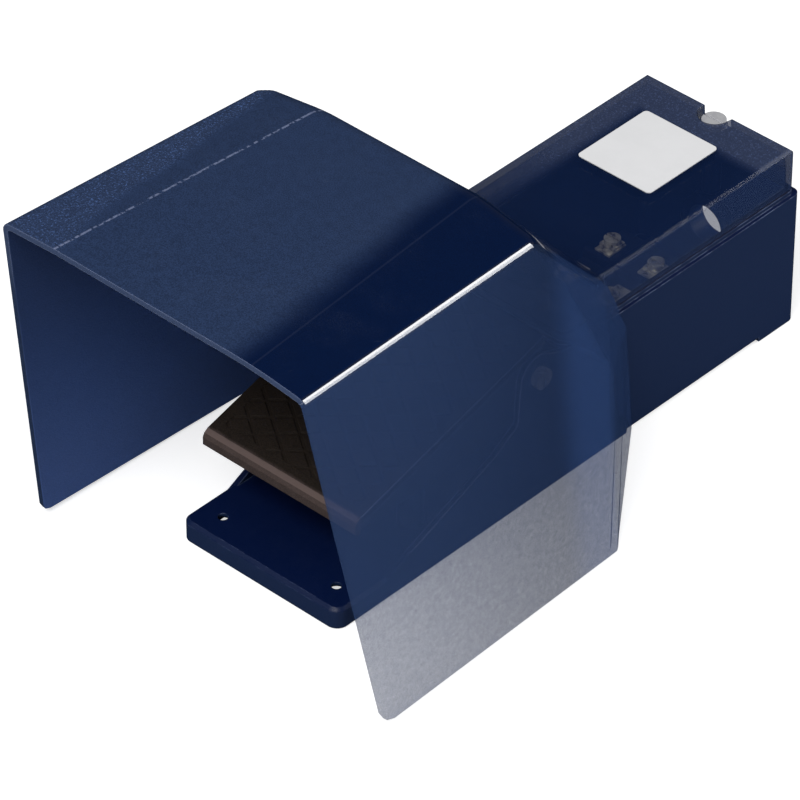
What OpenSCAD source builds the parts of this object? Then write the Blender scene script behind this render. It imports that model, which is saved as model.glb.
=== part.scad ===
// Hooded industrial foot switch: a cast base with a terminal housing, a sprung
// pedal on an axle, a push rod that works a contact block, a lid and a folded hood.
// Millimetres. X runs across, Y from the open mouth to the rear, Z up.
// The origin is the bottom centre of the whole switch.

/* [Base casting] */
// Width across the casting
base_w = 90; // [84:1:96]
// Length from the tongue's front edge to the rear wall
base_l = 290; // [288:1:300]
// Height of the tongue's top face
tongue_t = 10; // [9:0.5:12]
// Thickness of the tongue's cored top skin
skin_t = 3.6; // [3:0.2:5]
// Plan radius of the tongue's front corners
corner_r = 5.5; // [4:0.5:12]
// Chamfer along the tongue's top edge
edge_c = 1.5; // [0.5:0.25:2]
// Front face of the terminal housing, from the tongue's front edge
housing_y = 137; // [136:0.5:138]
// Thickness of the housing walls
wall_t = 4.5; // [3.5:0.5:5]
// Height of the housing floor
floor_t = 5; // [4:0.5:6]
// Height of the housing rim
rim_h = 70; // [68:1:72]
// Thickness of the pedal cheeks
cheek_t = 2.8; // [2.4:0.2:3]
// Distance between the two fixing holes in the tongue
hole_spacing = 65; // [50:1:70]
// Fixing holes, from the tongue's front edge
hole_y = 12.5; // [11:0.5:20]
// Diameter of the fixing holes
hole_d = 4.4; // [4:0.1:6]
// Diameter of the cable entry's core
entry_d = 18.4; // [14:0.2:18.6]

/* [Pedal] */
// Pivot axis, from the tongue's front edge
pivot_y = 121; // [120:0.5:122]
// Height of the pivot axis
pivot_z = 64; // [63:0.5:65]
// Diameter of the axle
axle_d = 6; // [5:0.5:7]
// Width across the pedal
pedal_w = 83.6; // [76:0.2:83.6]
// Front edge of the pedal, from the tongue's front edge
pedal_y = 12.4; // [8:0.2:20]
// Height of the tread at its front edge
tread_z = 49.2; // [48:0.1:51]
// Slope of the tread at rest, in degrees
tread_tilt = 15.6; // [15:0.1:16]
// Thickness of the rubber tread
pad_t = 4; // [3:0.5:5]
// Thickness of the pressed pedal frame
plate_t = 2.5; // [2:0.25:3]

/* [Push rod and contacts] */
// Height of the push rod's axis
rod_z = 30; // [29:0.5:31]
// Diameter of the push rod
rod_d = 6; // [5:0.5:6]
// Clear gap between the pedal arm and the rod at rest
rod_gap = 0.45; // [0.35:0.05:0.6]
// Running clearance round shafts and plungers
run_c = 0.05; // [0.02:0.01:0.1]
// Distance between the terminals across the block
term_dx = 25; // [24:0.5:27]
// Distance between the front and rear terminals
term_dy = 29.5; // [28:0.5:31]

/* [Lid] */
// Height of the lid's top face
lid_top = 90; // [88:1:92]
// Inward slope of the lid's walls over their height
lid_draft = 2; // [0.5:0.5:3]
// Thickness of the lid's walls and top
lid_t = 2.7; // [2:0.1:3]
// Width of the label plate
label_w = 41; // [30:1:44]
// Length of the label plate
label_l = 45; // [30:1:48]

/* [Hood] */
// Thickness of the hood sheet
sheet_t = 3; // [2:0.5:3]
// Height of the hood's flat top
hood_top = 176.4; // [170:0.2:182]
// Reach of the hood in front of the tongue
hood_front = 57; // [45:1:65]
// Half width of the hood at its outer folds, at the mouth
hood_half = 82.3; // [78:0.1:86]

/* [View] */
// Node that is drawn

/* [Hidden] */
$fn = 64;
eps = 0.01;
origin_y = (base_l - hood_front) / 2;
half_w = base_w / 2;

// Colours
c_navy = [0.05, 0.08, 0.19];
c_smoke = [0.07, 0.10, 0.20, 0.6];
c_window = [0.20, 0.28, 0.52, 0.5];
c_steel = [0.72, 0.72, 0.70];
c_brass = [0.78, 0.62, 0.32];
c_rubber = [0.13, 0.11, 0.09];
c_white = [0.92, 0.92, 0.90];
c_plastic = [0.14, 0.14, 0.15];

// Housing
ledge_h = rim_h - 2;
ledge_in = 1.8;
rear_r = 4;
inner_r = 3;
inner_w = half_w - wall_t;
inner_y0 = housing_y + wall_t;
inner_y1 = base_l - wall_t;
relief_y0 = 179;
relief_y1 = base_l - 24;
relief_h = 2.2;
core_wall = 4.5;
core_rib = 3;
core_cols = 3;
core_rows = 2;
core_y1 = 129;
hole_skin = 1.6;
hole_core_r = 4;
cheek_in = half_w - cheek_t;
cheek_line = [[28, tongue_t - edge_c], [38, 13.4], [50, 17.9], [95.4, 35.9], [109, 44.5]];
ear_r = 10.5;
clear = 0.3;

// Bosses inside the housing
post_x = 20.5;
post_y = 148.5;
post_r = 5.5;
m5_r = 2.45;
m5_hole_r = 2.5;
m5_free_r = 2.8;
m5_deep = 16;
lid_post_y = base_l - 6;
lid_post_z = 50;
lid_post_r = 4.2;
entry_z = 33;
entry_boss_r = 14;
entry_boss_l = 5;
rod_boss_r = 10;
rod_boss_y1 = 153;
pad_h = 7;
pad_w = 28;
earth_x = -28;
earth_y = 262;
earth_r = 6;
earth_z = 14;

// Pedal
pedal_half = pedal_w / 2;
pedal_y1 = 127;
flange_z = 41.9;
lip_r = 3;
pad_over = 1.5;
pad_half = pedal_half + pad_over;
lug_y0 = 105;
lug_z = 54;
rear_plate = 2.4;
bush_r = 4.5;
bush_in = 4.8;
collar_r = 6.5;
collar_t = 1.5;
arm_half = 10;
arm_t = 2.4;
arm_z0 = 25;
arm_z1 = 75.5;
arm_y = pedal_y1 + arm_t;
rivet_x = 5;
rivet_z = 70;
rivet_r = 2;
rivet_head_r = 2.9;
rivet_head_t = 1.4;
tread_rise = tan(tread_tilt);
tread_y1 = pedal_y1 - 0.4;
tread_len = (tread_y1 - pedal_y) / cos(tread_tilt);
groove_turn = 34;
groove_pitch = 9;
groove_w = 1.6;
groove_deep = 0.6;
groove_edge = 5;

// Springs and buffers
spring_y = 88;
spring_r = 7;
spring_wire = 1.7;
spring_turns = 7;
spring_z0 = tongue_t + 2.5;
spring_z1 = 57.5;
seat_r = 9.5;
stop_x = 26;
stop_y = 64;
stop_r = 6;
stop_pillar = 36;
stop_top = 43.8;
rest_x = 24;
rest_z = 67;
rest_r = 2.8;
rest_stem_r = 1.6;
rest_stem_l = 3;

// Axle ends
axle_r = axle_d / 2;
thread_r = 1.6;
thread_l = 12;
washer_t = 0.8;
washer_r = 4.6;
head_r = 4.9;
head_t = 2.8;

// Rod
rod_r = rod_d / 2;
rod_tip = arm_y + rod_gap;
rod_end = 188;
rod_bush_r = 6;
rod_bush_y1 = 149;
clip_t = 1.2;
clip_r = 5.6;

// Contact block
block_half = 17;
block_y0 = 192;
block_y1 = 246;
block_z0 = floor_t + pad_h;
block_base_t = 2;
deck_z = 40;
deck_t = 4;
block_wall = 3;
block_front = 5;
ear_x = 23;
ear_y = 218.5;
ear_half = 5.5;
plunger_r = 4;
plunger_y1 = 214;
carrier_half = 4;
carrier_y1 = 222;
spigot_r = 2.1;
spigot_l = 4;
bridge_y = 217.6;
bridge_t = 1.2;
bridge_half = 11.5;
bridge_h = 5.6;
term_y0 = 204;
strip_t = 1;
strip_w = 4;
strip_x = 8;
tab_x1 = 16.4;
contact_x = 10;
contact_r = 1.8;
nc_face = 217.25;
nc_leg = 213;
no_face = 224.5;
no_leg = 226.5;
clamp_t = 1.2;
clamp_half = 4;
m4_r = 1.95;
m4_hole_r = 2;
term_head_r = 3.8;
term_head_t = 2.6;
slot_w = 1;
slot_deep = 1.1;
barrier_h = 4.5;
barrier_t = 2;
c_spring_r = 3;
c_spring_wire = 0.8;
c_spring_turns = 5;

// Lid
lid_z0 = rim_h + 1;
lid_half = half_w - ledge_in;
lid_y0 = housing_y + ledge_in;
lid_y1 = base_l - 0.6;
lid_r = 6;
lid_c = 1.2;
notch_r = 7.6;
notch_half = 9;
notch_z = 84;
notch_wall = 2.4;
lid_head_r = 5.5;
lid_head_t = 2.6;
lid_washer_t = 0.8;
label_y = 243.2;
label_x = -2.5;
label_t = 0.5;
label_r = 2;

// Hood: corner points on the middle of the sheet, right-hand side
sheet_r = sheet_t / 2;
hood_fn = 16;
mid_top = hood_top - sheet_r;
front_y = -hood_front + sheet_r;
low_z = sheet_r + 1;
seam = 0.12;
toe_r = 6;
p_flat_f = [54.1, front_y, mid_top - 0.2];
p_fold_f = [hood_half - 1.3, front_y, mid_top - 3.1];
p_flat_r = [43, 83.4, mid_top + 0.2];
p_fold_r = [hood_half - 7.5, 83.4, mid_top - 6.1];
p_low_f = [hood_half + 15.6, -27.3, low_z];
p_knee = [hood_half - 0.3, 123, 83.7];
p_low_r = [hood_half + 8.8, 119.3, low_z];
p_lid = [half_w + sheet_r + clear, 157.4, lid_top + sheet_r + clear];
p_waist = [half_w + sheet_r + clear, 172.5, 56];
p_tail = [half_w + sheet_r + clear, 178, low_z + relief_h];
flange_y0 = lid_y0 + 0.2;
flange_y1 = 153.5;
step_y0 = flange_y1 + clear;
step_y1 = step_y0 + 1.2;
flange_z0 = rim_h + clear;
flange_x0 = 71;
flange_x1 = 58.2;
flange_gap = 2.3;
hex_r = 4.6;
hex_t = 3.5;
hood_washer_r = 5;
hood_washer_t = 1;

// ---------------------------------------------------------------- helpers

module place() {
    translate([0, -origin_y, 0]) children();
}

// The same on the right and on the left
module both() {
    children();
    mirror([1, 0, 0]) children();
}

// A profile drawn in Y and Z, drawn out along X
module yz(x0, width) {
    translate([x0, 0, 0]) rotate([90, 0, 90]) linear_extrude(width) children();
}

// A profile drawn in X and Z, drawn out along Y
module xz(y0, length) {
    translate([0, y0 + length, 0]) rotate([90, 0, 0]) linear_extrude(length) children();
}

module rod_x(x0, x1, y, z, r) {
    translate([x0, y, z]) rotate([0, 90, 0]) cylinder(r = r, h = x1 - x0);
}

module rod_y(y0, y1, x, z, r) {
    translate([x, y0, z]) rotate([-90, 0, 0]) cylinder(r = r, h = y1 - y0);
}

module rod_up(x, y, z0, z1, r) {
    translate([x, y, z0]) cylinder(r = r, h = z1 - z0);
}

module block(x0, x1, y0, y1, z0, z1) {
    translate([x0, y0, z0]) cube([x1 - x0, y1 - y0, z1 - z0]);
}

// Plan with four round corners
module round_plan(half, y0, y1, r) {
    translate([-half, y0 + r]) square([2 * half, y1 - y0 - 2 * r]);
    translate([-half + r, y0]) square([2 * (half - r), y1 - y0]);
    for (x = [-half + r, half - r], y = [y0 + r, y1 - r]) translate([x, y]) circle(r);
}

// Round wire coil along Z
module coil(radius, wire, turns, length, steps = 18, sides = 6) {
    count = turns * steps;
    points = [
        for (i = [0:count], j = [0:sides - 1])
            let (a = 360 * i / steps, b = 360 * j / sides, r = radius + wire / 2 * cos(b))
                [r * cos(a), r * sin(a), wire / 2 * (1 + sin(b)) + (length - wire) * i / count]
    ];
    walls = [
        for (i = [0:count - 1], j = [0:sides - 1])
            let (k = (j + 1) % sides)
                [i * sides + j, i * sides + k, (i + 1) * sides + k, (i + 1) * sides + j]
    ];
    start = [for (j = [sides - 1:-1:0]) j];
    finish = [for (j = [0:sides - 1]) count * sides + j];
    polyhedron(points, concat([start], walls, [finish]));
}

module slotted_head(r, t) {
    difference() {
        cylinder(r = r, h = t);
        translate([-r - eps, -slot_w / 2, t - slot_deep]) cube([2 * (r + eps), slot_w, t]);
    }
}

// One flat panel of the hood, rounded at its edges
module panel(corners, grow = 0) {
    hull() for (p = corners) translate(p) sphere(sheet_r + grow, $fn = hood_fn);
}

function flip(p) = [-p[0], p[1], p[2]];
function along(a, b, d) = a + (b - a) * d / norm(b - a);

// ---------------------------------------------------------------- base casting

module tongue() {
    for (x = [-half_w + corner_r, half_w - corner_r]) {
        rod_up(x, corner_r, 0, tongue_t - edge_c, corner_r);
        translate([x, corner_r, tongue_t - edge_c])
            cylinder(r1 = corner_r, r2 = corner_r - edge_c, h = edge_c);
    }
    yz(-half_w + corner_r, base_w - 2 * corner_r)
        polygon([
            [0, 0], [corner_r, 0], [corner_r, tongue_t],
            [edge_c, tongue_t], [0, tongue_t - edge_c]
        ]);
    xz(corner_r, housing_y - corner_r)
        polygon([
            [-half_w, 0], [half_w, 0], [half_w, tongue_t - edge_c],
            [half_w - edge_c, tongue_t], [-half_w + edge_c, tongue_t],
            [-half_w, tongue_t - edge_c]
        ]);
}

module cheek() {
    yz(cheek_in, cheek_t) {
        polygon(concat(
            [[28, 0]], cheek_line,
            [[pivot_y - ear_r, pivot_z], [pivot_y, pivot_z], [pivot_y, pivot_z + ear_r],
             [housing_y + eps, ledge_h], [housing_y + eps, 0]]
        ));
        translate([pivot_y, pivot_z]) circle(ear_r);
    }
}

module cores() {
    col_w = (2 * (half_w - core_wall) - (core_cols - 1) * core_rib) / core_cols;
    row_l = (core_y1 - core_wall - (core_rows - 1) * core_rib) / core_rows;
    for (i = [0:core_cols - 1], j = [0:core_rows - 1])
        translate([
            -half_w + core_wall + i * (col_w + core_rib),
            core_wall + j * (row_l + core_rib),
            -eps
        ]) cube([col_w, row_l, tongue_t - skin_t + eps]);
}

module housing_shell() {
    linear_extrude(ledge_h) round_plan(half_w, housing_y, base_l, rear_r);
    translate([-half_w, housing_y, 0]) cube([base_w, rear_r, ledge_h]);
    translate([0, 0, ledge_h]) linear_extrude(rim_h - ledge_h)
        round_plan(half_w - ledge_in, housing_y + ledge_in, base_l - ledge_in, rear_r);
}

module housing_bosses() {
    both() {
        rod_up(post_x, post_y, floor_t - eps, rim_h, post_r);
        block(post_x - post_r, post_x + post_r, housing_y + eps, post_y, floor_t - eps, ledge_h);
    }
    rod_up(0, lid_post_y, lid_post_z, rim_h, lid_post_r);
    rod_y(inner_y1 - entry_boss_l, base_l - 1, 0, entry_z, entry_boss_r);
    rod_y(housing_y + 1, rod_boss_y1, 0, rod_z, rod_boss_r);
    block(-pad_w, pad_w, ear_y - 2 * ear_half, ear_y + 2 * ear_half, floor_t - eps, block_z0);
    rod_up(earth_x, earth_y, floor_t - eps, earth_z, earth_r);
}

module base_casting() color(c_navy) place() difference() {
    union() {
        tongue();
        both() cheek();
        difference() {
            housing_shell();
            translate([0, 0, floor_t]) linear_extrude(rim_h)
                round_plan(inner_w, inner_y0, inner_y1, inner_r);
        }
        housing_bosses();
        rod_up(0, spring_y, tongue_t - eps, spring_z0 - 0.5, seat_r);
        rod_up(0, spring_y, tongue_t - eps, spring_z0 + 3, spring_r - spring_wire);
        both() rod_up(stop_x, stop_y, tongue_t - eps, stop_pillar, stop_r);
    }
    cores();
    block(-half_w - eps, half_w + eps, relief_y0, relief_y1, -eps, relief_h);
    both() {
        rod_up(hole_spacing / 2, hole_y, -eps, tongue_t + eps, hole_d / 2);
        rod_up(hole_spacing / 2, hole_y, -eps, tongue_t - hole_skin, hole_core_r);
        rod_up(post_x, post_y, rim_h - m5_deep, rim_h + eps, m5_hole_r);
        rod_x(cheek_in - eps, half_w + eps, pivot_y, pivot_z, axle_r + 0.02);
        rod_up(stop_x, stop_y, stop_pillar - 5, stop_pillar + eps, stop_r - 3);
        rod_y(housing_y - eps, housing_y + rest_stem_l, rest_x, rest_z, rest_stem_r);
        rod_up(ear_x, ear_y, floor_t, block_z0 + eps, m4_hole_r);
    }
    rod_up(0, lid_post_y, rim_h - m5_deep, rim_h + eps, m5_hole_r);
    rod_y(inner_y1 - entry_boss_l - eps, base_l + eps, 0, entry_z, entry_d / 2);
    rod_y(housing_y - eps, rod_boss_y1 + eps, 0, rod_z, rod_bush_r);
    rod_up(earth_x, earth_y, floor_t, earth_z + eps, m4_hole_r);
}

// ---------------------------------------------------------------- lid

// The lid's outer form, moved in by a wall thickness for the hollow
module lid_form(inset, bottom, top, chamfer) {
    slope = lid_draft / (lid_top - lid_z0);
    fall = slope * (top - chamfer - lid_z0);
    wide = lid_half - inset;
    y0 = lid_y0 + inset;
    y1 = lid_y1 - inset;
    intersection() {
        xz(y0, y1 - y0) polygon([
            [-wide, bottom], [wide, bottom], [wide - fall, top - chamfer],
            [wide - fall - chamfer, top], [-wide + fall + chamfer, top],
            [-wide + fall, top - chamfer]
        ]);
        yz(-wide, 2 * wide) polygon([
            [y0, bottom], [y1, bottom], [y1 - fall, top - chamfer],
            [y1 - fall - chamfer, top], [y0 + fall + chamfer, top],
            [y0 + fall, top - chamfer]
        ]);
        translate([0, 0, lid_z0 - 1]) linear_extrude(top)
            round_plan(wide, y0, y1, lid_r - inset);
    }
}

module notch(grow) {
    translate([0, lid_post_y]) circle(notch_r + grow);
    polygon([
        [-notch_r - grow, lid_post_y], [notch_r + grow, lid_post_y],
        [notch_half + grow, base_l + 1], [-notch_half - grow, base_l + 1]
    ]);
}

module lid() color(c_smoke) place() {
    difference() {
        union() {
            difference() {
                lid_form(0, lid_z0, lid_top, lid_c);
                lid_form(lid_t, lid_z0 - eps, lid_top - lid_t, eps);
            }
            intersection() {
                lid_form(0, lid_z0, lid_top, lid_c);
                union() {
                    translate([0, 0, notch_z - lid_t]) linear_extrude(lid_top) notch(notch_wall);
                    rod_up(0, lid_post_y, lid_z0, notch_z, post_r);
                }
            }
        }
        translate([0, 0, notch_z]) linear_extrude(lid_top) notch(0);
        rod_up(0, lid_post_y, lid_z0 - 1, notch_z + eps, m5_free_r);
        block(-base_w, base_w, 0, step_y1, lid_z0 - 1, flange_z0 + sheet_t + 1);
    }
    lid_hook();
}

// The hook that catches under the hood's flange
module lid_hook() {
    block(-6, 6, step_y0, step_y0 + 2.4, rim_h - 3.6, lid_top - lid_t + eps);
    block(-6, 6, flange_y1 - 3, step_y0 + eps, rim_h - 3.6, rim_h);
}

module gasket_ring() {
    difference() {
        union() {
            difference() {
                round_plan(lid_half - 0.6, lid_y0 + 0.6, base_l - ledge_in - 0.6, lid_r - 1);
                round_plan(inner_w + 0.4, inner_y0 + 0.4, inner_y1 - 0.4, inner_r);
            }
            translate([0, lid_post_y]) circle(lid_post_r);
        }
        translate([0, lid_post_y]) circle(m5_free_r);
    }
}

module lid_gasket() color(c_rubber) place() {
    intersection() {
        translate([0, 0, rim_h]) linear_extrude(1) gasket_ring();
        block(-base_w, base_w, step_y0, base_l, rim_h, lid_z0);
    }
    intersection() {
        translate([0, 0, flange_z0 + sheet_t]) linear_extrude(1) gasket_ring();
        block(-base_w, base_w, 0, step_y1, rim_h, lid_top);
    }
    intersection() {
        translate([0, 0, rim_h]) linear_extrude(flange_z0 + sheet_t + 1 - rim_h) gasket_ring();
        block(-base_w, base_w, step_y0, step_y1, rim_h, lid_top);
    }
}

module lid_screw_washer() color(c_steel) place() difference() {
    rod_up(0, lid_post_y, notch_z, notch_z + lid_washer_t, lid_head_r + 0.6);
    rod_up(0, lid_post_y, notch_z - 1, notch_z + 2, m5_free_r);
}

module lid_screw() color(c_steel) place() {
    rod_up(0, lid_post_y, rim_h - m5_deep + 2, notch_z + lid_washer_t, m5_r);
    translate([0, lid_post_y, notch_z + lid_washer_t]) slotted_head(lid_head_r, lid_head_t);
}

module label_plate() color(c_white) place()
    translate([label_x, label_y - label_l / 2, lid_top]) linear_extrude(label_t)
        round_plan(label_w / 2, 0, label_l, label_r);

// ---------------------------------------------------------------- hood

module shoulder_panels(m) {
    panel([for (p = [p_fold_r, p_knee, p_lid]) m * p]);
    panel([for (p = [p_knee, p_waist, p_lid]) m * p]);
    panel([for (p = [p_knee, p_low_r, p_waist]) m * p]);
    panel([for (p = [p_low_r, p_tail, p_waist]) m * p]);
}

module side_panel(m) {
    toe_b = along(p_low_f, p_low_r, toe_r);
    toe_m = along(p_low_f, (p_low_r + p_fold_f) / 2, toe_r / 2);
    toe_f = along(p_low_f, p_fold_f, toe_r);
    panel([for (p = [p_fold_f, p_fold_r, p_knee, p_low_r, toe_b, toe_m, toe_f]) m * p]);
}

m_left = [[-1, 0, 0], [0, 1, 0], [0, 0, 1]];
m_right = [[1, 0, 0], [0, 1, 0], [0, 0, 1]];

module bevel_panels(m, grow = 0) {
    panel([m * p_flat_f, m * p_fold_f, m * p_fold_r, m * p_flat_r], grow);
    panel([m * p_flat_r, m * p_fold_r, m * p_lid], grow);
}

module crown() {
    panel([p_flat_f, p_flat_r, flip(p_flat_r), flip(p_flat_f)]);
    panel([p_flat_r, p_lid, flip(p_lid), flip(p_flat_r)]);
    bevel_panels(m_left);
    bevel_panels(m_right);
}

module hood_flange() {
    difference() {
        translate([0, 0, flange_z0]) linear_extrude(sheet_t) polygon([
            [-flange_x0, flange_y0], [flange_x0 - flange_gap, flange_y0],
            [flange_x1 - flange_gap, flange_y1], [-flange_x1, flange_y1]
        ]);
        both() rod_up(post_x, post_y, rim_h, lid_top, m5_free_r);
    }
}

module hood_shell() color(c_navy) place() {
    crown();
    side_panel(m_left);
    shoulder_panels(m_left);
    hood_flange();
}

module hood_window() color(c_window) place() difference() {
    union() {
        side_panel(m_right);
        shoulder_panels(m_right);
    }
    bevel_panels(m_right, seam);
}

module hood_washers() color(c_steel) place() both() difference() {
    rod_up(post_x, post_y, flange_z0 + sheet_t, flange_z0 + sheet_t + hood_washer_t, hood_washer_r);
    rod_up(post_x, post_y, rim_h, lid_top, m5_free_r);
}

module hood_screws() color(c_steel) place() both() {
    seat = flange_z0 + sheet_t + hood_washer_t;
    rod_up(post_x, post_y, rim_h - m5_deep + 2, seat, m5_r);
    translate([post_x, post_y, seat]) cylinder(r = hex_r, h = hex_t, $fn = 6);
}

// ---------------------------------------------------------------- pedal

// Moves into the tread's own plane: along it, and down from its top face
module on_tread() {
    translate([0, pedal_y, tread_z]) rotate([tread_tilt, 0, 0]) children();
}

function tread_at(y) = tread_z + (y - pedal_y) * tread_rise;
skew = 1 / cos(tread_tilt);

module pedal_side() {
    top_drop = pad_t * skew;
    polygon([
        [pedal_y + 3, flange_z], [pedal_y + 3, tread_at(pedal_y + 3) - top_drop],
        [pedal_y1, tread_at(pedal_y1) - top_drop], [pedal_y1, lug_z],
        [lug_y0, flange_z]
    ]);
}

module pedal_frame() color(c_plastic) place() difference() {
    union() {
        difference() {
            yz(-pedal_half, pedal_w) pedal_side();
            yz(-pedal_half + plate_t, pedal_w - 2 * plate_t) polygon([
                [pedal_y + 3 + plate_t, 0],
                [pedal_y + 3 + plate_t, tread_at(pedal_y + 3 + plate_t) - (pad_t + plate_t) * skew],
                [pedal_y1 - rear_plate, tread_at(pedal_y1 - rear_plate) - (pad_t + plate_t) * skew],
                [pedal_y1 - rear_plate, 0]
            ]);
        }
        intersection() {
            rod_up(0, spring_y, spring_z1, tread_z + 40, seat_r);
            on_tread() block(-seat_r, seat_r, 0, tread_len, -pad_t - 20, -pad_t - 0.5);
        }
    }
    both() {
        rod_x(pedal_half - plate_t - eps, pedal_half + eps, pivot_y, pivot_z, bush_r);
        rod_y(pedal_y1 - rear_plate - eps, pedal_y1 + eps, rivet_x, rivet_z, rivet_r);
    }
}

// Two crossing sets of shallow grooves that leave diamonds standing
module tread_grooves() {
    reach = ceil(tread_len / groove_pitch);
    on_tread() intersection() {
        block(
            -pad_half + groove_edge, pad_half - groove_edge,
            groove_edge + lip_r, tread_len - groove_edge, -groove_deep, 1
        );
        translate([0, tread_len / 2, 0])
            for (turn = [-groove_turn, groove_turn], i = [-reach:reach])
                rotate([0, 0, turn]) block(
                    -tread_len, tread_len,
                    i * groove_pitch, i * groove_pitch + groove_w, -2 * groove_deep, 2
                );
    }
}

module pedal_pad() color(c_rubber) place() difference() {
    yz(-pad_half, 2 * pad_half) polygon([
        [pedal_y, flange_z + 1], [pedal_y, tread_z - 0.85 * lip_r],
        [pedal_y + 0.3 * lip_r, tread_z - 0.2 * lip_r], [pedal_y + lip_r, tread_at(pedal_y + lip_r)],
        [tread_y1, tread_at(tread_y1)], [tread_y1, tread_at(tread_y1) - pad_t * skew],
        [pedal_y + 3, tread_at(pedal_y + 3) - pad_t * skew], [pedal_y + 3, flange_z],
        [pedal_y + 1, flange_z]
    ]);
    tread_grooves();
}

module axle_bushes() color(c_white) place() both() difference() {
    union() {
        rod_x(pedal_half - bush_in, pedal_half, pivot_y, pivot_z, bush_r - 0.01);
        rod_x(pedal_half - plate_t - collar_t, pedal_half - plate_t, pivot_y, pivot_z, collar_r);
    }
    rod_x(pedal_half - 2 * bush_in, pedal_half + eps, pivot_y, pivot_z, axle_r + run_c);
    block(0, base_w, pedal_y1 - rear_plate, housing_y, 0, lid_top);
}

module actuator_arm() color(c_steel) place() difference() {
    block(-arm_half, arm_half, pedal_y1, arm_y, arm_z0, arm_z1);
    both() rod_y(pedal_y1 - eps, arm_y + eps, rivet_x, rivet_z, rivet_r);
}

module arm_rivets() color(c_steel) place() both() {
    rod_y(pedal_y1 - rear_plate, arm_y, rivet_x, rivet_z, rivet_r - 0.01);
    rod_y(pedal_y1 - rear_plate - rivet_head_t, pedal_y1 - rear_plate, rivet_x, rivet_z, rivet_head_r);
    rod_y(arm_y, arm_y + rivet_head_t, rivet_x, rivet_z, rivet_head_r);
}

module axle() color(c_steel) place() difference() {
    rod_x(-half_w, half_w, pivot_y, pivot_z, axle_r);
    both() rod_x(half_w - thread_l, half_w + eps, pivot_y, pivot_z, thread_r);
}

module axle_washers() color(c_steel) place() both() difference() {
    rod_x(half_w, half_w + washer_t, pivot_y, pivot_z, washer_r);
    rod_x(half_w - eps, half_w + washer_t + eps, pivot_y, pivot_z, thread_r + 0.4);
}

module axle_screws() color(c_steel) place() both() {
    rod_x(half_w - thread_l + 1, half_w + washer_t, pivot_y, pivot_z, thread_r - 0.02);
    translate([half_w + washer_t, pivot_y, pivot_z]) rotate([0, 90, 0]) slotted_head(head_r, head_t);
}

module return_spring() color(c_steel) place()
    translate([0, spring_y, spring_z0 - 0.5])
        coil(spring_r, spring_wire, spring_turns, spring_z1 - spring_z0 + 0.5 - clear);

module rest_buffers() color(c_rubber) place() both() {
    rod_y(pedal_y1 + clear, housing_y, rest_x, rest_z, rest_r);
    rod_y(housing_y - eps, housing_y + rest_stem_l - 0.2, rest_x, rest_z, rest_stem_r - 0.02);
}

module stop_buffers() color(c_rubber) place() both() {
    rod_up(stop_x, stop_y, stop_pillar, stop_top, stop_r);
    rod_up(stop_x, stop_y, stop_pillar - 4.5, stop_pillar + eps, stop_r - 3.05);
}

// ---------------------------------------------------------------- push rod

module rod_bush() color(c_brass) place() difference() {
    rod_y(housing_y, rod_bush_y1, 0, rod_z, rod_bush_r - 0.01);
    rod_y(housing_y - eps, rod_bush_y1 + eps, 0, rod_z, rod_r + run_c);
}

module rod_seal() color(c_rubber) place() difference() {
    rod_y(rod_bush_y1, rod_boss_y1 - 0.2, 0, rod_z, rod_bush_r - 0.02);
    rod_y(rod_bush_y1 - eps, rod_boss_y1, 0, rod_z, rod_r + run_c);
}

module push_rod() color(c_steel) place() {
    rod_y(rod_tip + rod_r, rod_end, 0, rod_z, rod_r);
    translate([0, rod_tip + rod_r, rod_z]) sphere(rod_r);
}

module rod_clip() color(c_steel) place() difference() {
    rod_y(rod_boss_y1 + clear, rod_boss_y1 + clear + clip_t, 0, rod_z, clip_r);
    rod_y(rod_boss_y1, rod_boss_y1 + 3, 0, rod_z, rod_r + 0.01);
    block(-1.5, 1.5, rod_boss_y1, rod_boss_y1 + 3, rod_z - clip_r - 1, rod_z);
}

// ---------------------------------------------------------------- contact block

module block_base() color(c_plastic) place() difference() {
    union() {
        block(-block_half, block_half, block_y0, block_y1, block_z0, block_z0 + block_base_t);
        block(-pad_w, pad_w, ear_y - ear_half, ear_y + ear_half, block_z0, block_z0 + block_base_t);
    }
    both() rod_up(ear_x, ear_y, block_z0 - eps, block_z0 + block_base_t + eps, m4_hole_r + 0.2);
}

module block_body() color(c_plastic) place() {
    z0 = block_z0 + block_base_t;
    difference() {
        union() {
            difference() {
                block(-block_half, block_half, block_y0, block_y1, z0, deck_z);
                block(
                    -block_half + block_wall, block_half - block_wall,
                    block_y0 + block_front, block_y1 - block_front, z0 - eps, deck_z - deck_t
                );
            }
            both() for (y = [term_y0, term_y0 + term_dy])
                block(
                    term_dx / 2 - clamp_half + 2, block_half - block_wall + eps,
                    y - clamp_half, y + clamp_half, z0 + 10, deck_z - deck_t + eps
                );
            barriers();
        }
        rod_y(block_y0 - eps, block_y0 + block_front + eps, 0, rod_z, plunger_r + run_c);
        both() {
            for (y = [term_y0, term_y0 + term_dy])
                rod_up(term_dx / 2, y, z0 + 12, deck_z + eps, m4_hole_r);
            for (y = [nc_leg, no_leg])
                block(
                    strip_x - 0.1, strip_x + strip_w + 0.1, y - 0.1, y + strip_t + 0.1,
                    deck_z - deck_t - eps, deck_z + eps
                );
        }
    }
}

module barriers() {
    mid_y = (nc_leg + strip_t + no_leg) / 2;
    block(-barrier_t / 2, barrier_t / 2, block_y0, block_y1, deck_z - eps, deck_z + barrier_h);
    block(
        -block_half, block_half, mid_y - barrier_t / 2, mid_y + barrier_t / 2,
        deck_z - eps, deck_z + barrier_h
    );
}

module block_screws() color(c_steel) place() both() {
    top = block_z0 + block_base_t;
    rod_up(ear_x, ear_y, floor_t + 0.5, top, m4_r);
    translate([ear_x, ear_y, top]) slotted_head(term_head_r, term_head_t);
}

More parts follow.
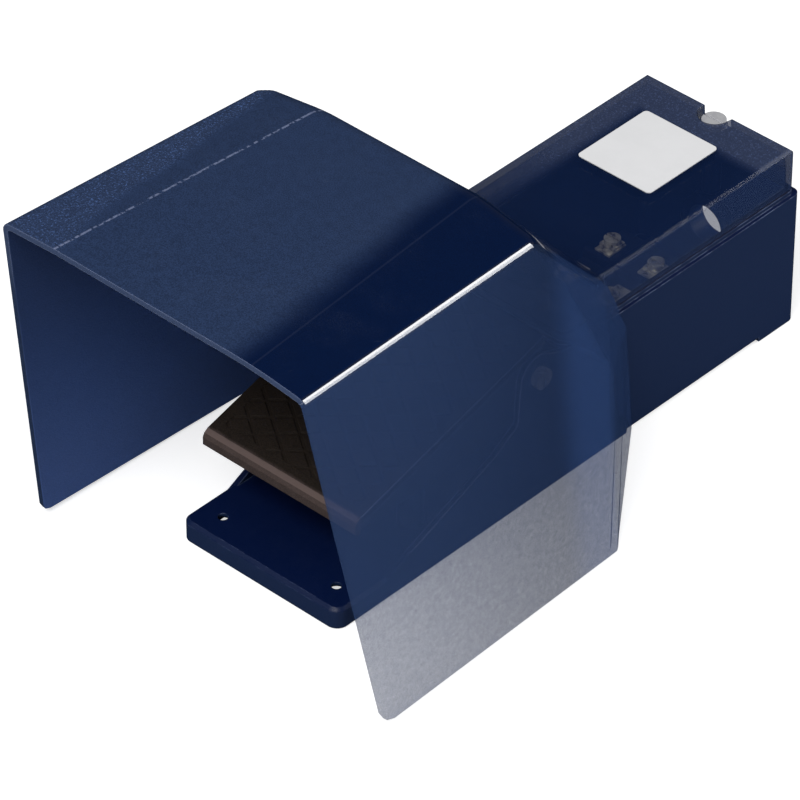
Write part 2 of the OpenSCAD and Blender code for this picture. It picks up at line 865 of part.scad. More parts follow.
module contact_plunger() color(c_white) place() difference() {
    union() {
        rod_y(rod_end, plunger_y1, 0, rod_z, plunger_r);
        block(
            -carrier_half, carrier_half, plunger_y1 - eps, carrier_y1,
            rod_z - carrier_half, rod_z + carrier_half
        );
        rod_y(carrier_y1 - eps, carrier_y1 + spigot_l, 0, rod_z, spigot_r);
    }
    block(
        -carrier_half - eps, carrier_half + eps, bridge_y - run_c, bridge_y + bridge_t + run_c,
        rod_z - bridge_h / 2 - run_c, rod_z + bridge_h / 2 + run_c
    );
}

module contact_bridge() color(c_brass) place()
    block(
        -bridge_half, bridge_half, bridge_y, bridge_y + bridge_t,
        rod_z - bridge_h / 2, rod_z + bridge_h / 2
    );

module contact_spring() color(c_steel) place()
    translate([0, carrier_y1 + clear, rod_z]) rotate([-90, 0, 0])
        coil(c_spring_r, c_spring_wire, c_spring_turns,
             block_y1 - block_front - carrier_y1 - clear - 0.1, 16, 6);

// A strip: tab on the deck, leg through it, and a button facing the bridge
module contact_strip(leg, face, tab_y0, tab_y1) {
    block(strip_x, tab_x1, tab_y0, tab_y1, deck_z, deck_z + strip_t);
    block(strip_x, strip_x + strip_w, leg, leg + strip_t, rod_z - contact_r, deck_z + strip_t);
    y0 = min(leg + strip_t, face);
    y1 = max(leg, face);
    rod_y(y0 - eps, y1 + eps, contact_x, rod_z, contact_r);
}

module fixed_contacts() color(c_brass) place() both() difference() {
    union() {
        contact_strip(nc_leg, nc_face, term_y0 - clamp_half, nc_leg + strip_t);
        contact_strip(no_leg, no_face, no_leg, term_y0 + term_dy + clamp_half);
    }
    for (y = [term_y0, term_y0 + term_dy])
        rod_up(term_dx / 2, y, deck_z - eps, deck_z + strip_t + eps, m4_hole_r);
}

module terminal_clamps() color(c_brass) place() both() difference() {
    z = deck_z + strip_t;
    for (y = [term_y0, term_y0 + term_dy])
        block(
            term_dx / 2 - clamp_half, term_dx / 2 + clamp_half,
            y - clamp_half + 0.2, y + clamp_half - 0.2, z, z + clamp_t
        );
    for (y = [term_y0, term_y0 + term_dy])
        rod_up(term_dx / 2, y, z - eps, z + clamp_t + eps, m4_hole_r);
}

module terminal_screws() color(c_brass) place() both()
    for (y = [term_y0, term_y0 + term_dy]) {
        z = deck_z + strip_t + clamp_t;
        rod_up(term_dx / 2, y, deck_z - 9, z, m4_r);
        translate([term_dx / 2, y, z]) slotted_head(term_head_r, term_head_t);
    }

module earth_clamp() color(c_brass) place() difference() {
    rod_up(earth_x, earth_y, earth_z, earth_z + clamp_t, earth_r - 1);
    rod_up(earth_x, earth_y, earth_z - eps, earth_z + clamp_t + eps, m4_hole_r);
}

module earth_screw() color(c_brass) place() {
    rod_up(earth_x, earth_y, floor_t + 1, earth_z + clamp_t, m4_r);
    translate([earth_x, earth_y, earth_z + clamp_t]) slotted_head(term_head_r, term_head_t);
}

// ---------------------------------------------------------------- nodes

base_casting();
lid();
lid_gasket();
lid_screw();
lid_screw_washer();
label_plate();
hood_shell();
hood_window();
hood_screws();
hood_washers();
pedal_frame();
pedal_pad();
actuator_arm();
arm_rivets();
axle_bushes();
axle();
axle_washers();
axle_screws();
return_spring();
rest_buffers();
stop_buffers();
rod_bush();
rod_seal();
push_rod();
rod_clip();
block_base();
block_body();
block_screws();
contact_plunger();
contact_bridge();
contact_spring();
fixed_contacts();
terminal_clamps();
terminal_screws();
earth_clamp();
earth_screw();
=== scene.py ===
"""Finishes and fine pieces of a hooded industrial foot switch, built round its fixed frame.

Everything is in metres and in the frame's own axes: X across, Y from the open
mouth to the rear, Z up, with the floor at Z = 0.
"""

from math import cos, pi, radians, sin

import bmesh
import bpy
from bpy.props import FloatProperty, FloatVectorProperty, IntProperty, PointerProperty
from mathutils import Matrix, Vector


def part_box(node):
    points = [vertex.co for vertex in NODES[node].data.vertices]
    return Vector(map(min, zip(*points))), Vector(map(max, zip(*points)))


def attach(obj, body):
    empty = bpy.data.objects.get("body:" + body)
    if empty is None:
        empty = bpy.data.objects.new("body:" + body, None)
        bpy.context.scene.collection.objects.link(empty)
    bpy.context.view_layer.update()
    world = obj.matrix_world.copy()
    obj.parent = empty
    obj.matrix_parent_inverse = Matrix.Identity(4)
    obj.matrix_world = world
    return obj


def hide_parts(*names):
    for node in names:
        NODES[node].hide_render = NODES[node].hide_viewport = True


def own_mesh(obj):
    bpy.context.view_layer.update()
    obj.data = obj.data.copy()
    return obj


bl_info = {
    "name": "Hooded Foot Switch",
    "version": (1, 0, 0),
    "blender": (4, 5, 0),
    "location": "3D View > Sidebar > Foot Switch",
    "description": "Dresses a hooded foot switch: hood, smoked lid, tread, springs, finishes",
    "category": "Object",
}

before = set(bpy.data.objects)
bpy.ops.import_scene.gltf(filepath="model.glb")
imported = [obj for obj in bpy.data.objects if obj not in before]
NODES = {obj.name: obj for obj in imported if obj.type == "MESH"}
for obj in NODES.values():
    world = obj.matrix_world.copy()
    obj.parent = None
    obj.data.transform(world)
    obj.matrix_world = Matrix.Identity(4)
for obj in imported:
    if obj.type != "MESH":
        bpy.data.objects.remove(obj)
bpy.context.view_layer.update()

# Where the frame puts the tongue's front edge, and millimetres to metres
FRONT_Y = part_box("base_casting")[0].y
MM = 0.001


def at(x, y, z):
    """A point in millimetres, Y counted from the tongue's front edge."""
    return Vector((x * MM, FRONT_Y + y * MM, z * MM))


# ------------------------------------------------------------------ properties

def length(name, text, default):
    return FloatProperty(name=name, description=text, default=default, min=0.0,
                         precision=5, subtype="DISTANCE", unit="LENGTH")


def colour(name, text, default):
    return FloatVectorProperty(name=name, description=text, default=default, size=3,
                               min=0.0, max=1.0, subtype="COLOR")


def share(name, text, default):
    return FloatProperty(name=name, description=text, default=default, min=0.0, max=1.0,
                         subtype="FACTOR")


class HoodSettings(bpy.types.PropertyGroup):
    sheet: length("Sheet", "Thickness of the hood's sheet", 0.003)
    soft_fold: length("Soft fold", "Run of the wide bend beside the flat top", 0.010)
    hard_fold: length("Hard fold", "Run of the tight outer bends", 0.0034)
    paint: colour("Shell", "Colour of the opaque shell", (0.0008, 0.0066, 0.034))
    # The grained zone's lighter colour is grain and painted light together
    haze: colour("Grain haze", "Colour that the grained surface takes on", (0.022, 0.041, 0.100))
    # Inner faces are painted lighter than the shell, as painted bounce light
    lining_painted_bounce: colour("Inner face", "Colour of the hood's inner faces", (0.043, 0.084, 0.235))
    clear: colour("Window", "Colour of the see-through side at the front", (0.036, 0.076, 0.205))
    # The rear colour is darker than the front: painted shade of the shadowed floor seen through it
    clear_rear_painted_shade: colour("Window rear", "Colour of the see-through side at its rear",
                       (0.015, 0.037, 0.112))
    cover: share("Window cover", "Share of light that one skin of the window stops", 0.43)


class LidSettings(bpy.types.PropertyGroup):
    smoke: colour("Smoke", "Colour of the smoked lid", (0.0062, 0.0200, 0.078))
    # The walls' colour is lighter than the smoke: painted light
    wall: colour("Wall", "Colour of the lid's upright walls", (0.026, 0.050, 0.14))
    # The borders' colour is lighter than the smoke: grain and painted reflection together
    haze: colour("Grain haze", "Colour of the lid's grained borders", (0.046, 0.066, 0.140))
    cover: share("Cover", "Share of light that one skin of the lid stops", 0.36)
    wall_cover: share("Wall cover", "What the upright walls stop on top of that", 0.08)


class BodySettings(bpy.types.PropertyGroup):
    # Level faces are painted darker and upright faces lighter: painted light and shade
    paint: colour("Casting", "Colour of the casting's level faces", (0.0004, 0.0062, 0.043))
    walls: colour("Casting walls", "Colour of the casting's upright faces",
                  (0.0100, 0.0240, 0.076))
    tread: colour("Tread", "Colour of the rubber tread", (0.0200, 0.0135, 0.0092))
    # Colour of the tread's paler front lip
    lip: colour("Tread lip", "Colour of the rubbed front lip of the tread",
                (0.078, 0.056, 0.050))
    label: colour("Label", "Colour of the bare label", (0.95, 0.95, 0.955))


class SpringSettings(bpy.types.PropertyGroup):
    steps: IntProperty(name="Steps", description="Wire rings in each turn of a coil",
                       default=40, min=12, max=96)
    sides: IntProperty(name="Sides", description="Corners of the wire's section",
                       default=12, min=6, max=24)
    return_wire: length("Return wire", "Wire of the pedal's return spring", 0.0017)
    contact_wire: length("Contact wire", "Wire of the contact spring", 0.0008)
    return_keep: share("Return keep", "Length that the pressed return spring keeps", 0.885)
    contact_keep: share("Contact keep", "Length that the pressed contact spring keeps", 0.71)


class StageSettings(bpy.types.PropertyGroup):
    floor: colour("Floor", "Colour of the floor", (0.70, 0.70, 0.70))
    lens: FloatProperty(name="Lens", description="Focal length of the camera",
                        default=273.855, min=1.0, unit="CAMERA")
    azimuth: FloatProperty(name="Azimuth", description="Camera's turn round the upright",
                           default=radians(42.831), subtype="ANGLE", unit="ROTATION")
    elevation: FloatProperty(name="Elevation", description="Camera's height angle",
                             default=radians(38.305), subtype="ANGLE", unit="ROTATION")
    roll: FloatProperty(name="Roll", description="Camera's roll",
                        default=radians(0.193), subtype="ANGLE", unit="ROTATION")


class FootSwitchSettings(bpy.types.PropertyGroup):
    hood: PointerProperty(type=HoodSettings)
    lid: PointerProperty(type=LidSettings)
    body: PointerProperty(type=BodySettings)
    springs: PointerProperty(type=SpringSettings)
    stage: PointerProperty(type=StageSettings)


# ------------------------------------------------------------------ node boards

class Board:
    """A shader tree with short ways to add and join nodes."""

    def __init__(self, tree):
        self.tree = tree

    def put(self, kind, settings=None, **inputs):
        node = self.tree.nodes.new(kind)
        for key, value in (settings or {}).items():
            setattr(node, key, value)
        for key, value in inputs.items():
            self.feed(node.inputs[key.replace("_", " ")], value)
        return node

    def feed(self, socket, value):
        if isinstance(value, bpy.types.NodeSocket):
            self.tree.links.new(value, socket)
        elif socket.type == "RGBA" and len(value) == 3:
            socket.default_value = (*value, 1.0)
        else:
            socket.default_value = value

    def math(self, operation, a, b=0.0, clamp=False):
        node = self.tree.nodes.new("ShaderNodeMath")
        node.operation = operation
        node.use_clamp = clamp
        self.feed(node.inputs[0], a)
        self.feed(node.inputs[1], b)
        return node.outputs[0]

    def dot(self, a, b):
        node = self.tree.nodes.new("ShaderNodeVectorMath")
        node.operation = "DOT_PRODUCT"
        self.feed(node.inputs[0], a)
        self.feed(node.inputs[1], b)
        return node.outputs["Value"]

    def ramp(self, value, low, high, out_low=0.0, out_high=1.0):
        node = self.put("ShaderNodeMapRange", {"interpolation_type": "SMOOTHSTEP"})
        for key, item in zip(("Value", "From Min", "From Max", "To Min", "To Max"),
                             (value, low, high, out_low, out_high)):
            self.feed(node.inputs[key], item)
        return node.outputs["Result"]

    def mix(self, factor, a, b):
        node = self.tree.nodes.new("ShaderNodeMix")
        node.data_type = "RGBA"
        self.feed(node.inputs["Factor"], factor)
        self.feed(node.inputs[6], a)
        self.feed(node.inputs[7], b)
        return node.outputs[2]

    def noise(self, vector, scale, detail=3.0, roughness=0.55):
        node = self.put("ShaderNodeTexNoise", Vector=vector, Scale=scale, Detail=detail,
                        Roughness=roughness)
        return node.outputs["Fac"]

    def spot(self):
        return self.put("ShaderNodeTexCoord").outputs["Object"]

    def axes(self, vector):
        node = self.put("ShaderNodeSeparateXYZ", Vector=vector)
        return node.outputs[0], node.outputs[1], node.outputs[2]

    def group(self, name, **inputs):
        node = self.tree.nodes.new("ShaderNodeGroup")
        node.node_tree = effect(name)
        for key, value in inputs.items():
            self.feed(node.inputs[key.replace("_", " ")], value)
        return node


def new_group(name, inputs, outputs):
    tree = bpy.data.node_groups.new(name, "ShaderNodeTree")
    kinds = {"float": "NodeSocketFloat", "colour": "NodeSocketColor", "vector": "NodeSocketVector"}
    for key, kind, value in inputs:
        socket = tree.interface.new_socket(name=key, in_out="INPUT", socket_type=kinds[kind])
        if value is not None:
            socket.default_value = value
    for key, kind in outputs:
        tree.interface.new_socket(name=key, in_out="OUTPUT", socket_type=kinds[kind])
    board = Board(tree)
    return board, board.put("NodeGroupInput").outputs, board.put("NodeGroupOutput").inputs


def build_moulded_grain():
    """Fine spark-eroded grain of moulded plastic and powder paint."""
    board, given, out = new_group(
        "Moulded grain",
        [("Size", "float", 0.0011), ("Softness", "float", 0.3)],
        [("Height", "float"), ("Tone", "float"), ("Crest", "float")])
    spot = board.spot()
    scale = board.math("DIVIDE", 1.0, given["Size"])
    cells = board.put("ShaderNodeTexVoronoi", {"feature": "SMOOTH_F1"}, Vector=spot, Scale=scale,
                      Smoothness=given["Softness"]).outputs["Distance"]
    fine = board.noise(spot, board.math("MULTIPLY", scale, 1.9), 4.0, 0.6)
    broad = board.noise(spot, board.math("MULTIPLY", scale, 0.22), 3.0, 0.5)
    height = board.math("ADD", board.math("MULTIPLY", cells, 0.7),
                        board.math("MULTIPLY", fine, 0.6))
    tone = board.math("ADD", board.math("MULTIPLY", fine, 0.86),
                      board.math("MULTIPLY", broad, 0.14))
    board.feed(out["Height"], height)
    board.feed(out["Tone"], board.ramp(tone, 0.38, 0.62))
    board.feed(out["Crest"], board.ramp(fine, 0.53, 0.66))


def build_edge_wear():
    """Where outer edges are rubbed, broken up by a coarse pattern."""
    board, given, out = new_group(
        "Edge wear",
        [("Radius", "float", 0.0012), ("Patch size", "float", 0.006), ("Amount", "float", 0.5)],
        [("Mask", "float"), ("Edge", "float"), ("Round normal", "vector")])
    round_edge = board.put("ShaderNodeBevel", {"samples": 6}, Radius=given["Radius"])
    true_normal = board.put("ShaderNodeNewGeometry").outputs["Normal"]
    turned = board.math("SUBTRACT", 1.0, board.dot(round_edge.outputs[0], true_normal))
    patch = board.noise(board.spot(), board.math("DIVIDE", 1.0, given["Patch size"]), 4.0, 0.65)
    edge = board.ramp(turned, 0.02, 0.22)
    worn = board.ramp(patch, 0.42, 0.62)
    mask = board.math("MULTIPLY", board.math("MULTIPLY", edge, worn), given["Amount"], True)
    board.feed(out["Mask"], mask)
    board.feed(out["Edge"], turned)
    board.feed(out["Round normal"], round_edge.outputs[0])


def build_dust():
    """Fine dust that lies on faces that look up, in soft patches."""
    board, given, out = new_group(
        "Settled dust",
        [("Amount", "float", 0.3), ("Patch size", "float", 0.02)],
        [("Mask", "float")])
    up = board.axes(board.put("ShaderNodeTexCoord").outputs["Normal"])[2]
    spot = board.spot()
    scale = board.math("DIVIDE", 1.0, given["Patch size"])
    patch = board.noise(spot, scale, 5.0, 0.6)
    specks = board.noise(spot, 2600.0, 2.0, 0.5)
    lies = board.ramp(up, 0.2, 0.9)
    mask = board.math("MULTIPLY", board.ramp(patch, 0.45, 0.75), board.ramp(specks, 0.45, 0.7))
    board.feed(out["Mask"], board.math("MULTIPLY", board.math("MULTIPLY", mask, lies),
                                       given["Amount"], True))


def build_scuffs():
    """Long hairline scuffs that run one way, in two crossing sets."""
    board, given, out = new_group(
        "Hairline scuffs",
        [("Scale", "float", 60.0), ("Stretch", "float", 14.0), ("Amount", "float", 0.5)],
        [("Mask", "float"), ("Height", "float")])
    spot = board.spot()
    lines = []
    for turn, seed in ((0.5, 3.1), (-0.9, 7.7)):
        moved = board.put("ShaderNodeMapping", Vector=spot, Rotation=(turn, turn * 0.6, turn),
                          Location=(seed, seed, seed))
        x, y, z = board.axes(moved.outputs[0])
        long = board.put("ShaderNodeCombineXYZ", X=board.math("MULTIPLY", x, given["Stretch"]),
                         Y=y, Z=board.math("MULTIPLY", z, given["Stretch"]))
        streak = board.noise(long.outputs[0], given["Scale"], 6.0, 0.7)
        lines.append(board.ramp(streak, 0.66, 0.74))
    both = board.math("MAXIMUM", *lines)
    board.feed(out["Mask"], board.math("MULTIPLY", both, given["Amount"], True))
    board.feed(out["Height"], both)


BUILDERS = {
    "Moulded grain": build_moulded_grain,
    "Edge wear": build_edge_wear,
    "Settled dust": build_dust,
    "Hairline scuffs": build_scuffs,
}


def effect(name):
    """The named node group, built the first time that it is asked for."""
    if name not in bpy.data.node_groups:
        BUILDERS[name]()
    return bpy.data.node_groups[name]


def start(name, **plain):
    """A new material: its board, its shader node and the shader's plain values."""
    material = bpy.data.materials.new(name)
    material.use_nodes = True
    board = Board(material.node_tree)
    shader = material.node_tree.nodes["Principled BSDF"]
    for key, value in plain.items():
        board.feed(shader.inputs[key.replace("_", " ")], value)
    return material, board, shader.inputs


def bump(board, height, depth, normal=None):
    node = board.put("ShaderNodeBump", Height=height, Distance=depth)
    if normal:
        board.feed(node.inputs["Normal"], normal)
    return node.outputs[0]


# ------------------------------------------------------------------ materials

def facing(board):
    """The surface's own X, Y and Z directions."""
    return board.axes(board.put("ShaderNodeTexCoord").outputs["Normal"])


def stripe(board, x, y, first, last, width):
    """A thin line in plan between two of the hood's corner points, used as the mask of painted
    highlight lines.
    """
    a, b = at(*first), at(*last)
    along = Vector((b.x - a.x, b.y - a.y)).normalized()
    off = board.math("SUBTRACT", board.math("MULTIPLY", x, along.y),
                     board.math("MULTIPLY", y, along.x))
    off = board.math("ABSOLUTE", board.math("SUBTRACT", off, a.x * along.y - a.y * along.x))
    return board.ramp(off, width * 0.35, width, 1.0, 0.0)


def times(tint, factor):
    return tuple(min(1.0, c * factor) for c in tint)


def paint_hood(settings):
    """Opaque hood sheet: grained on the top and left, polished towards the right fold. The
    polished zone is painted darker, as a painted dark reflection, and the grained zone lighter, as
    painted light.
    """
    material, board, shader = start("hood_navy_grained", IOR=1.49, Specular_IOR_Level=0.36,
                                    Coat_Roughness=0.06, Coat_IOR=3.0)
    spot = board.spot()
    x, y, z = board.axes(spot)
    nx, ny, nz = facing(board)
    fine = board.group("Moulded grain", Size=0.00095)
    coarse = board.group("Moulded grain", Size=0.0015)
    wear = board.group("Edge wear", Radius=0.0008, Patch_size=0.008, Amount=0.35)
    dust = board.group("Settled dust", Amount=0.10, Patch_size=0.03)
    scuffs = board.group("Hairline scuffs", Scale=22.0, Amount=0.12)
    wander = board.math("MULTIPLY", board.math("SUBTRACT", board.noise(spot, 14.0), 0.5), 0.014)
    side = board.math("ADD", board.math("ADD", x, board.math("MULTIPLY", y, 0.10)), wander)
    top = board.ramp(nz, 0.3, 0.6)
    # Polished zone: smoother, and painted darker than the grained zone as a painted dark
    # reflection
    polished = board.math("MULTIPLY", board.ramp(side, 0.019, 0.037), top)
    bare = board.math("SUBTRACT", 1.0, polished)
    bevel = board.math("MULTIPLY", board.ramp(side, -0.075, -0.069, 1.0, 0.0), top)
    inward = board.math("MULTIPLY", nx, x)
    inner = board.math("MAXIMUM", board.ramp(inward, -0.03, -0.06),
                       board.ramp(nz, -0.3, -0.6))
    # Painted light on the inner faces: lighter than the outside, lightest low down as painted
    # bounce light from the floor, and lighter towards the rear
    lining_painted_bounce = board.mix(board.ramp(z, -0.02, 0.19), times(settings.lining_painted_bounce, 1.75),
                       times(settings.lining_painted_bounce, 0.62))
    lining_painted_bounce = board.mix(board.ramp(y, FRONT_Y + 0.01, FRONT_Y + 0.13), lining_painted_bounce,
                       times(settings.lining_painted_bounce, 1.7))
    lining_painted_bounce = board.mix(board.math("MULTIPLY", fine.outputs["Tone"], 0.22), lining_painted_bounce,
                       settings.paint)

    low = board.mix(board.math("MULTIPLY", fine.outputs["Tone"], 0.5), settings.paint,
                    times(settings.paint, 1.5))
    lit = board.mix(fine.outputs["Tone"], times(settings.haze, 0.70), times(settings.haze, 1.26))
    base = board.mix(bare, low, lit)
    # Painted sparkle: the coarse grain's crests on the left bevel are painted much lighter, as
    # light catching them
    base = board.mix(board.math("MULTIPLY", bevel, coarse.outputs["Crest"]), base,
                     times(settings.haze, 3.1))
    base = board.mix(inner, base, lining_painted_bounce)
    # Painted highlights: a dotted light line along the left fold and a faint one along the right
    # fold
    points = HOOD_POINTS
    left = [(-points[k][0], *points[k][1:]) for k in ("flat_f", "flat_r")]
    right = [points[k] for k in ("flat_f", "flat_r")]
    dotted = board.ramp(board.noise(spot, 420.0, 2.0), 0.42, 0.56)
    crease = board.math("MULTIPLY", stripe(board, x, y, *left, 0.0008), dotted)
    faint = board.math("MULTIPLY", stripe(board, x, y, *right, 0.0006), 0.04)
    crease = board.math("MULTIPLY", board.math("MAXIMUM", crease, faint), top)
    base = board.mix(board.math("MULTIPLY", crease, 0.8), base, (0.20, 0.24, 0.38))
    # Painted light: the sheet's front rim faces are painted lighter, and their edges lighter still
    # as a painted highlight
    rim = board.math("MULTIPLY", board.ramp(ny, -0.45, -0.75), board.ramp(
        y, FRONT_Y - 0.050, FRONT_Y - 0.054))
    base = board.mix(board.math("MULTIPLY", rim, 0.25), base, (0.14, 0.19, 0.34))
    base = board.mix(board.math("MULTIPLY", rim, board.ramp(wear.outputs["Edge"], 0.02, 0.12)),
                     base, (0.30, 0.36, 0.55))
    # Rubbed edges, lightened also as a painted highlight along the folds and rims
    base = board.mix(wear.outputs["Mask"], base, (0.10, 0.13, 0.22))
    base = board.mix(board.math("MAXIMUM", dust.outputs["Mask"], scuffs.outputs["Mask"]), base,
                     (0.12, 0.15, 0.22))
    board.feed(shader["Base Color"], base)
    amount = board.math("MULTIPLY", bare, board.math(
        "ADD", 0.45, board.math("MULTIPLY", bevel, 0.55)))
    board.feed(shader["Roughness"], board.math("ADD", 0.12, board.math("MULTIPLY", amount, 0.50)))
    fold = board.math("MULTIPLY", board.math("MULTIPLY", board.ramp(nx, 0.48, 0.60),
                                             board.ramp(nx, 0.93, 0.86)),
                      board.ramp(x, 0.066, 0.070))
    board.feed(shader["Coat Weight"], fold)
    height = board.math("MULTIPLY", fine.outputs["Height"], amount)
    height = board.math("ADD", height, board.math(
        "MULTIPLY", board.math("MULTIPLY", coarse.outputs["Height"], bevel), 1.6))
    board.feed(shader["Normal"], bump(board, height, 0.00016))
    return material


def paint_window(settings):
    """See-through hood side: clear navy plastic, painted darker and made more opaque towards its
    rear, as painted shade of the shadowed floor behind it.
    """
    material, board, shader = start("hood_clear_blue", IOR=1.49, Specular_IOR_Level=0.30,
                                    Coat_Roughness=0.06, Coat_IOR=3.0)
    spot = board.spot()
    _, y, z = board.axes(spot)
    nz = facing(board)[2]
    grain = board.group("Moulded grain", Size=0.0010)
    wear = board.group("Edge wear", Radius=0.0008, Patch_size=0.010, Amount=0.30)
    scuffs = board.group("Hairline scuffs", Scale=26.0, Amount=0.10)
    # Painted shade: the colour darkens towards the rear, where the floor behind lies in shadow;
    # from about 85 to 105 mm behind the tongue's front it turns lighter again
    back = board.ramp(y, FRONT_Y - 0.030, FRONT_Y + 0.125)
    clear = board.mix(back, settings.clear, settings.clear_rear_painted_shade)
    clear = board.mix(board.ramp(y, FRONT_Y + 0.085, FRONT_Y + 0.105), clear,
                      times(settings.clear_rear_painted_shade, 2.0))
    tone = board.mix(grain.outputs["Tone"], board.mix(0.10, clear, (0.0, 0.0, 0.0)),
                     board.mix(0.012, clear, (1.0, 1.0, 1.0)))
    tone = board.mix(scuffs.outputs["Mask"], tone, (0.30, 0.36, 0.52))
    # Rubbed edges, lightened and made opaque also as a painted highlight along the edges
    tone = board.mix(wear.outputs["Mask"], tone, (0.40, 0.46, 0.62))
    board.feed(shader["Base Color"], tone)
    # The cover grows towards the rear and the top, darkening the side there as painted shade, with
    # cloudy and grainy variation
    haze = board.math("ADD", board.math("MULTIPLY", back, 0.11), board.math("MULTIPLY", z, 0.75))
    cloud = board.math("SUBTRACT", board.noise(spot, 420.0, 3.0, 0.6), 0.5)
    haze = board.math("ADD", board.math("MINIMUM", haze, 0.18), board.math(
        "MULTIPLY", cloud, 0.20))
    haze = board.math("ADD", haze, board.math(
        "MULTIPLY", board.math("SUBTRACT", grain.outputs["Tone"], 0.5), 0.05))
    cover = board.math("ADD", settings.cover, haze)
    cover = board.math("MAXIMUM", cover, board.math("MULTIPLY", wear.outputs["Mask"], 0.9))
    board.feed(shader["Alpha"], cover)
    board.feed(shader["Roughness"], board.math("ADD", 0.12, board.math(
        "MULTIPLY", grain.outputs["Tone"], 0.10)))
    fold = board.math("MULTIPLY", board.ramp(nz, 0.30, 0.42), board.ramp(z, 0.150, 0.160))
    board.feed(shader["Coat Weight"], fold)
    height = board.math("ADD", grain.outputs["Height"],
                        board.math("MULTIPLY", scuffs.outputs["Height"], -0.6))
    board.feed(shader["Normal"], bump(board, height, 0.000006))
    return material


def paint_lid(settings):
    """Smoked lid: grained along its left and rear borders, polished in the middle. The borders and
    outer edges are painted lighter, as a painted reflection; the upright walls are painted lighter
    than the top, and faces that look down lighter still, as painted light.
    """
    material, board, shader = start("lid_smoked_blue", IOR=1.49, Specular_IOR_Level=0.4,
                                    Coat_Roughness=0.06, Coat_IOR=3.0)
    spot = board.spot()
    x, y, _ = board.axes(spot)
    nz = facing(board)[2]
    grain = board.group("Moulded grain", Size=0.0012)
    wear = board.group("Edge wear", Radius=0.0018, Patch_size=0.009, Amount=0.08)
    corner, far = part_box("lid")
    # Painted reflection: a lighter, more opaque band along the left and rear outer edges
    edge = board.math("MAXIMUM", board.ramp(x, corner.x + 0.0042, corner.x + 0.0034),
                      board.ramp(y, far.y - 0.0042, far.y - 0.0034))
    # The grained borders are also painted lighter, as a painted reflection
    left = board.ramp(x, -0.030, -0.022, 1.0, 0.0)
    rear = board.ramp(y, FRONT_Y + 0.262, FRONT_Y + 0.268)
    border = board.math("MAXIMUM", board.math("MULTIPLY", left, board.ramp(
        y, FRONT_Y + 0.175, FRONT_Y + 0.235, 0.35, 1.0)), rear)
    low = board.mix(grain.outputs["Tone"], settings.smoke, times(settings.smoke, 1.3))
    high = board.mix(grain.outputs["Crest"], times(settings.haze, 0.78),
                     times(settings.haze, 1.7))
    # Painted light: the upright walls take a lighter colour than the top
    wall = board.ramp(board.math("ABSOLUTE", nz), 0.5, 0.2)
    low = board.mix(wall, low, settings.wall)
    border = board.math("MULTIPLY", border, board.math("SUBTRACT", 1.0, wall))
    base = board.mix(board.math("MAXIMUM", border, edge), low, high)
    base = board.mix(wear.outputs["Mask"], base, (0.20, 0.24, 0.36))
    # Painted light: faces that look down are painted light blue, as light lines along the lid's
    # lower edge
    foot = board.math("MULTIPLY", board.ramp(nz, -0.5, -0.8), 0.85)
    base = board.mix(foot, base, (0.34, 0.40, 0.58))
    board.feed(shader["Base Color"], base)
    cover = board.math("ADD", settings.cover, board.math("MULTIPLY", wall, settings.wall_cover))
    cover = board.math("ADD", cover, board.math("MULTIPLY", border, 0.46))
    cover = board.math("MAXIMUM", cover, board.math("MULTIPLY", edge, 0.95))
    ridge = board.math("MULTIPLY", board.ramp(wear.outputs["Edge"], 0.015, 0.05),
                       board.ramp(x, far.x - 0.0024, far.x - 0.0019))
    board.feed(shader["Alpha"], board.math("MAXIMUM", cover, ridge))
    board.feed(shader["Roughness"], board.math("ADD", 0.10, board.math("MULTIPLY", border, 0.30)))
    board.feed(shader["Coat Weight"], ridge)
    board.feed(shader["Coat Normal"], wear.outputs["Round normal"])
    height = board.math("MULTIPLY", grain.outputs["Height"], border)
    board.feed(shader["Normal"], bump(board, height, 0.00012, wear.outputs["Round normal"]))
    return material


def paint_casting(settings):
    """Powder paint on die-cast metal: its upright faces painted lighter and its level faces
    darker, as painted light and shade.
    """
    material, board, shader = start("casting_navy_paint", IOR=1.5, Specular_IOR_Level=0.26)
    nz = facing(board)[2]
    grain = board.group("Moulded grain", Size=0.0008, Softness=0.6)
    wear = board.group("Edge wear", Radius=0.0009, Patch_size=0.007, Amount=0.85)
    dust = board.group("Settled dust", Amount=0.04, Patch_size=0.015)
    # Painted light and shade: upright faces take the lighter wall colour, level faces the darker
    # one
    top = board.ramp(nz, 0.5, 0.85)
    base = board.mix(top, settings.walls, settings.paint)
    base = board.mix(board.math("MULTIPLY", grain.outputs["Tone"], 0.05), base,
                     (0.05, 0.08, 0.20))
    base = board.mix(dust.outputs["Mask"], base, (0.10, 0.12, 0.17))
    # Rubbed edges, lightened also as painted highlight lines along the edges
    base = board.mix(wear.outputs["Mask"], base, (0.15, 0.20, 0.34))
    _, y, z = board.axes(board.spot())
    # Painted highlight: a light line along the cheeks' top edges
    cheek_painted_highlight = board.math("MULTIPLY", board.ramp(z, 0.014, 0.018),
                       board.ramp(y, FRONT_Y + 0.150, FRONT_Y + 0.140))
    cheek_painted_highlight = board.math("MULTIPLY", cheek_painted_highlight, board.ramp(wear.outputs["Edge"], 0.02, 0.10))
    base = board.mix(cheek_painted_highlight, base, (0.45, 0.50, 0.66))
    board.feed(shader["Base Color"], base)
    board.feed(shader["Roughness"], board.math("ADD", 0.34, board.math(
        "MULTIPLY", grain.outputs["Tone"], 0.16)))
    board.feed(shader["Normal"], bump(board, grain.outputs["Height"], 0.00003,
                                      wear.outputs["Round normal"]))
    return material


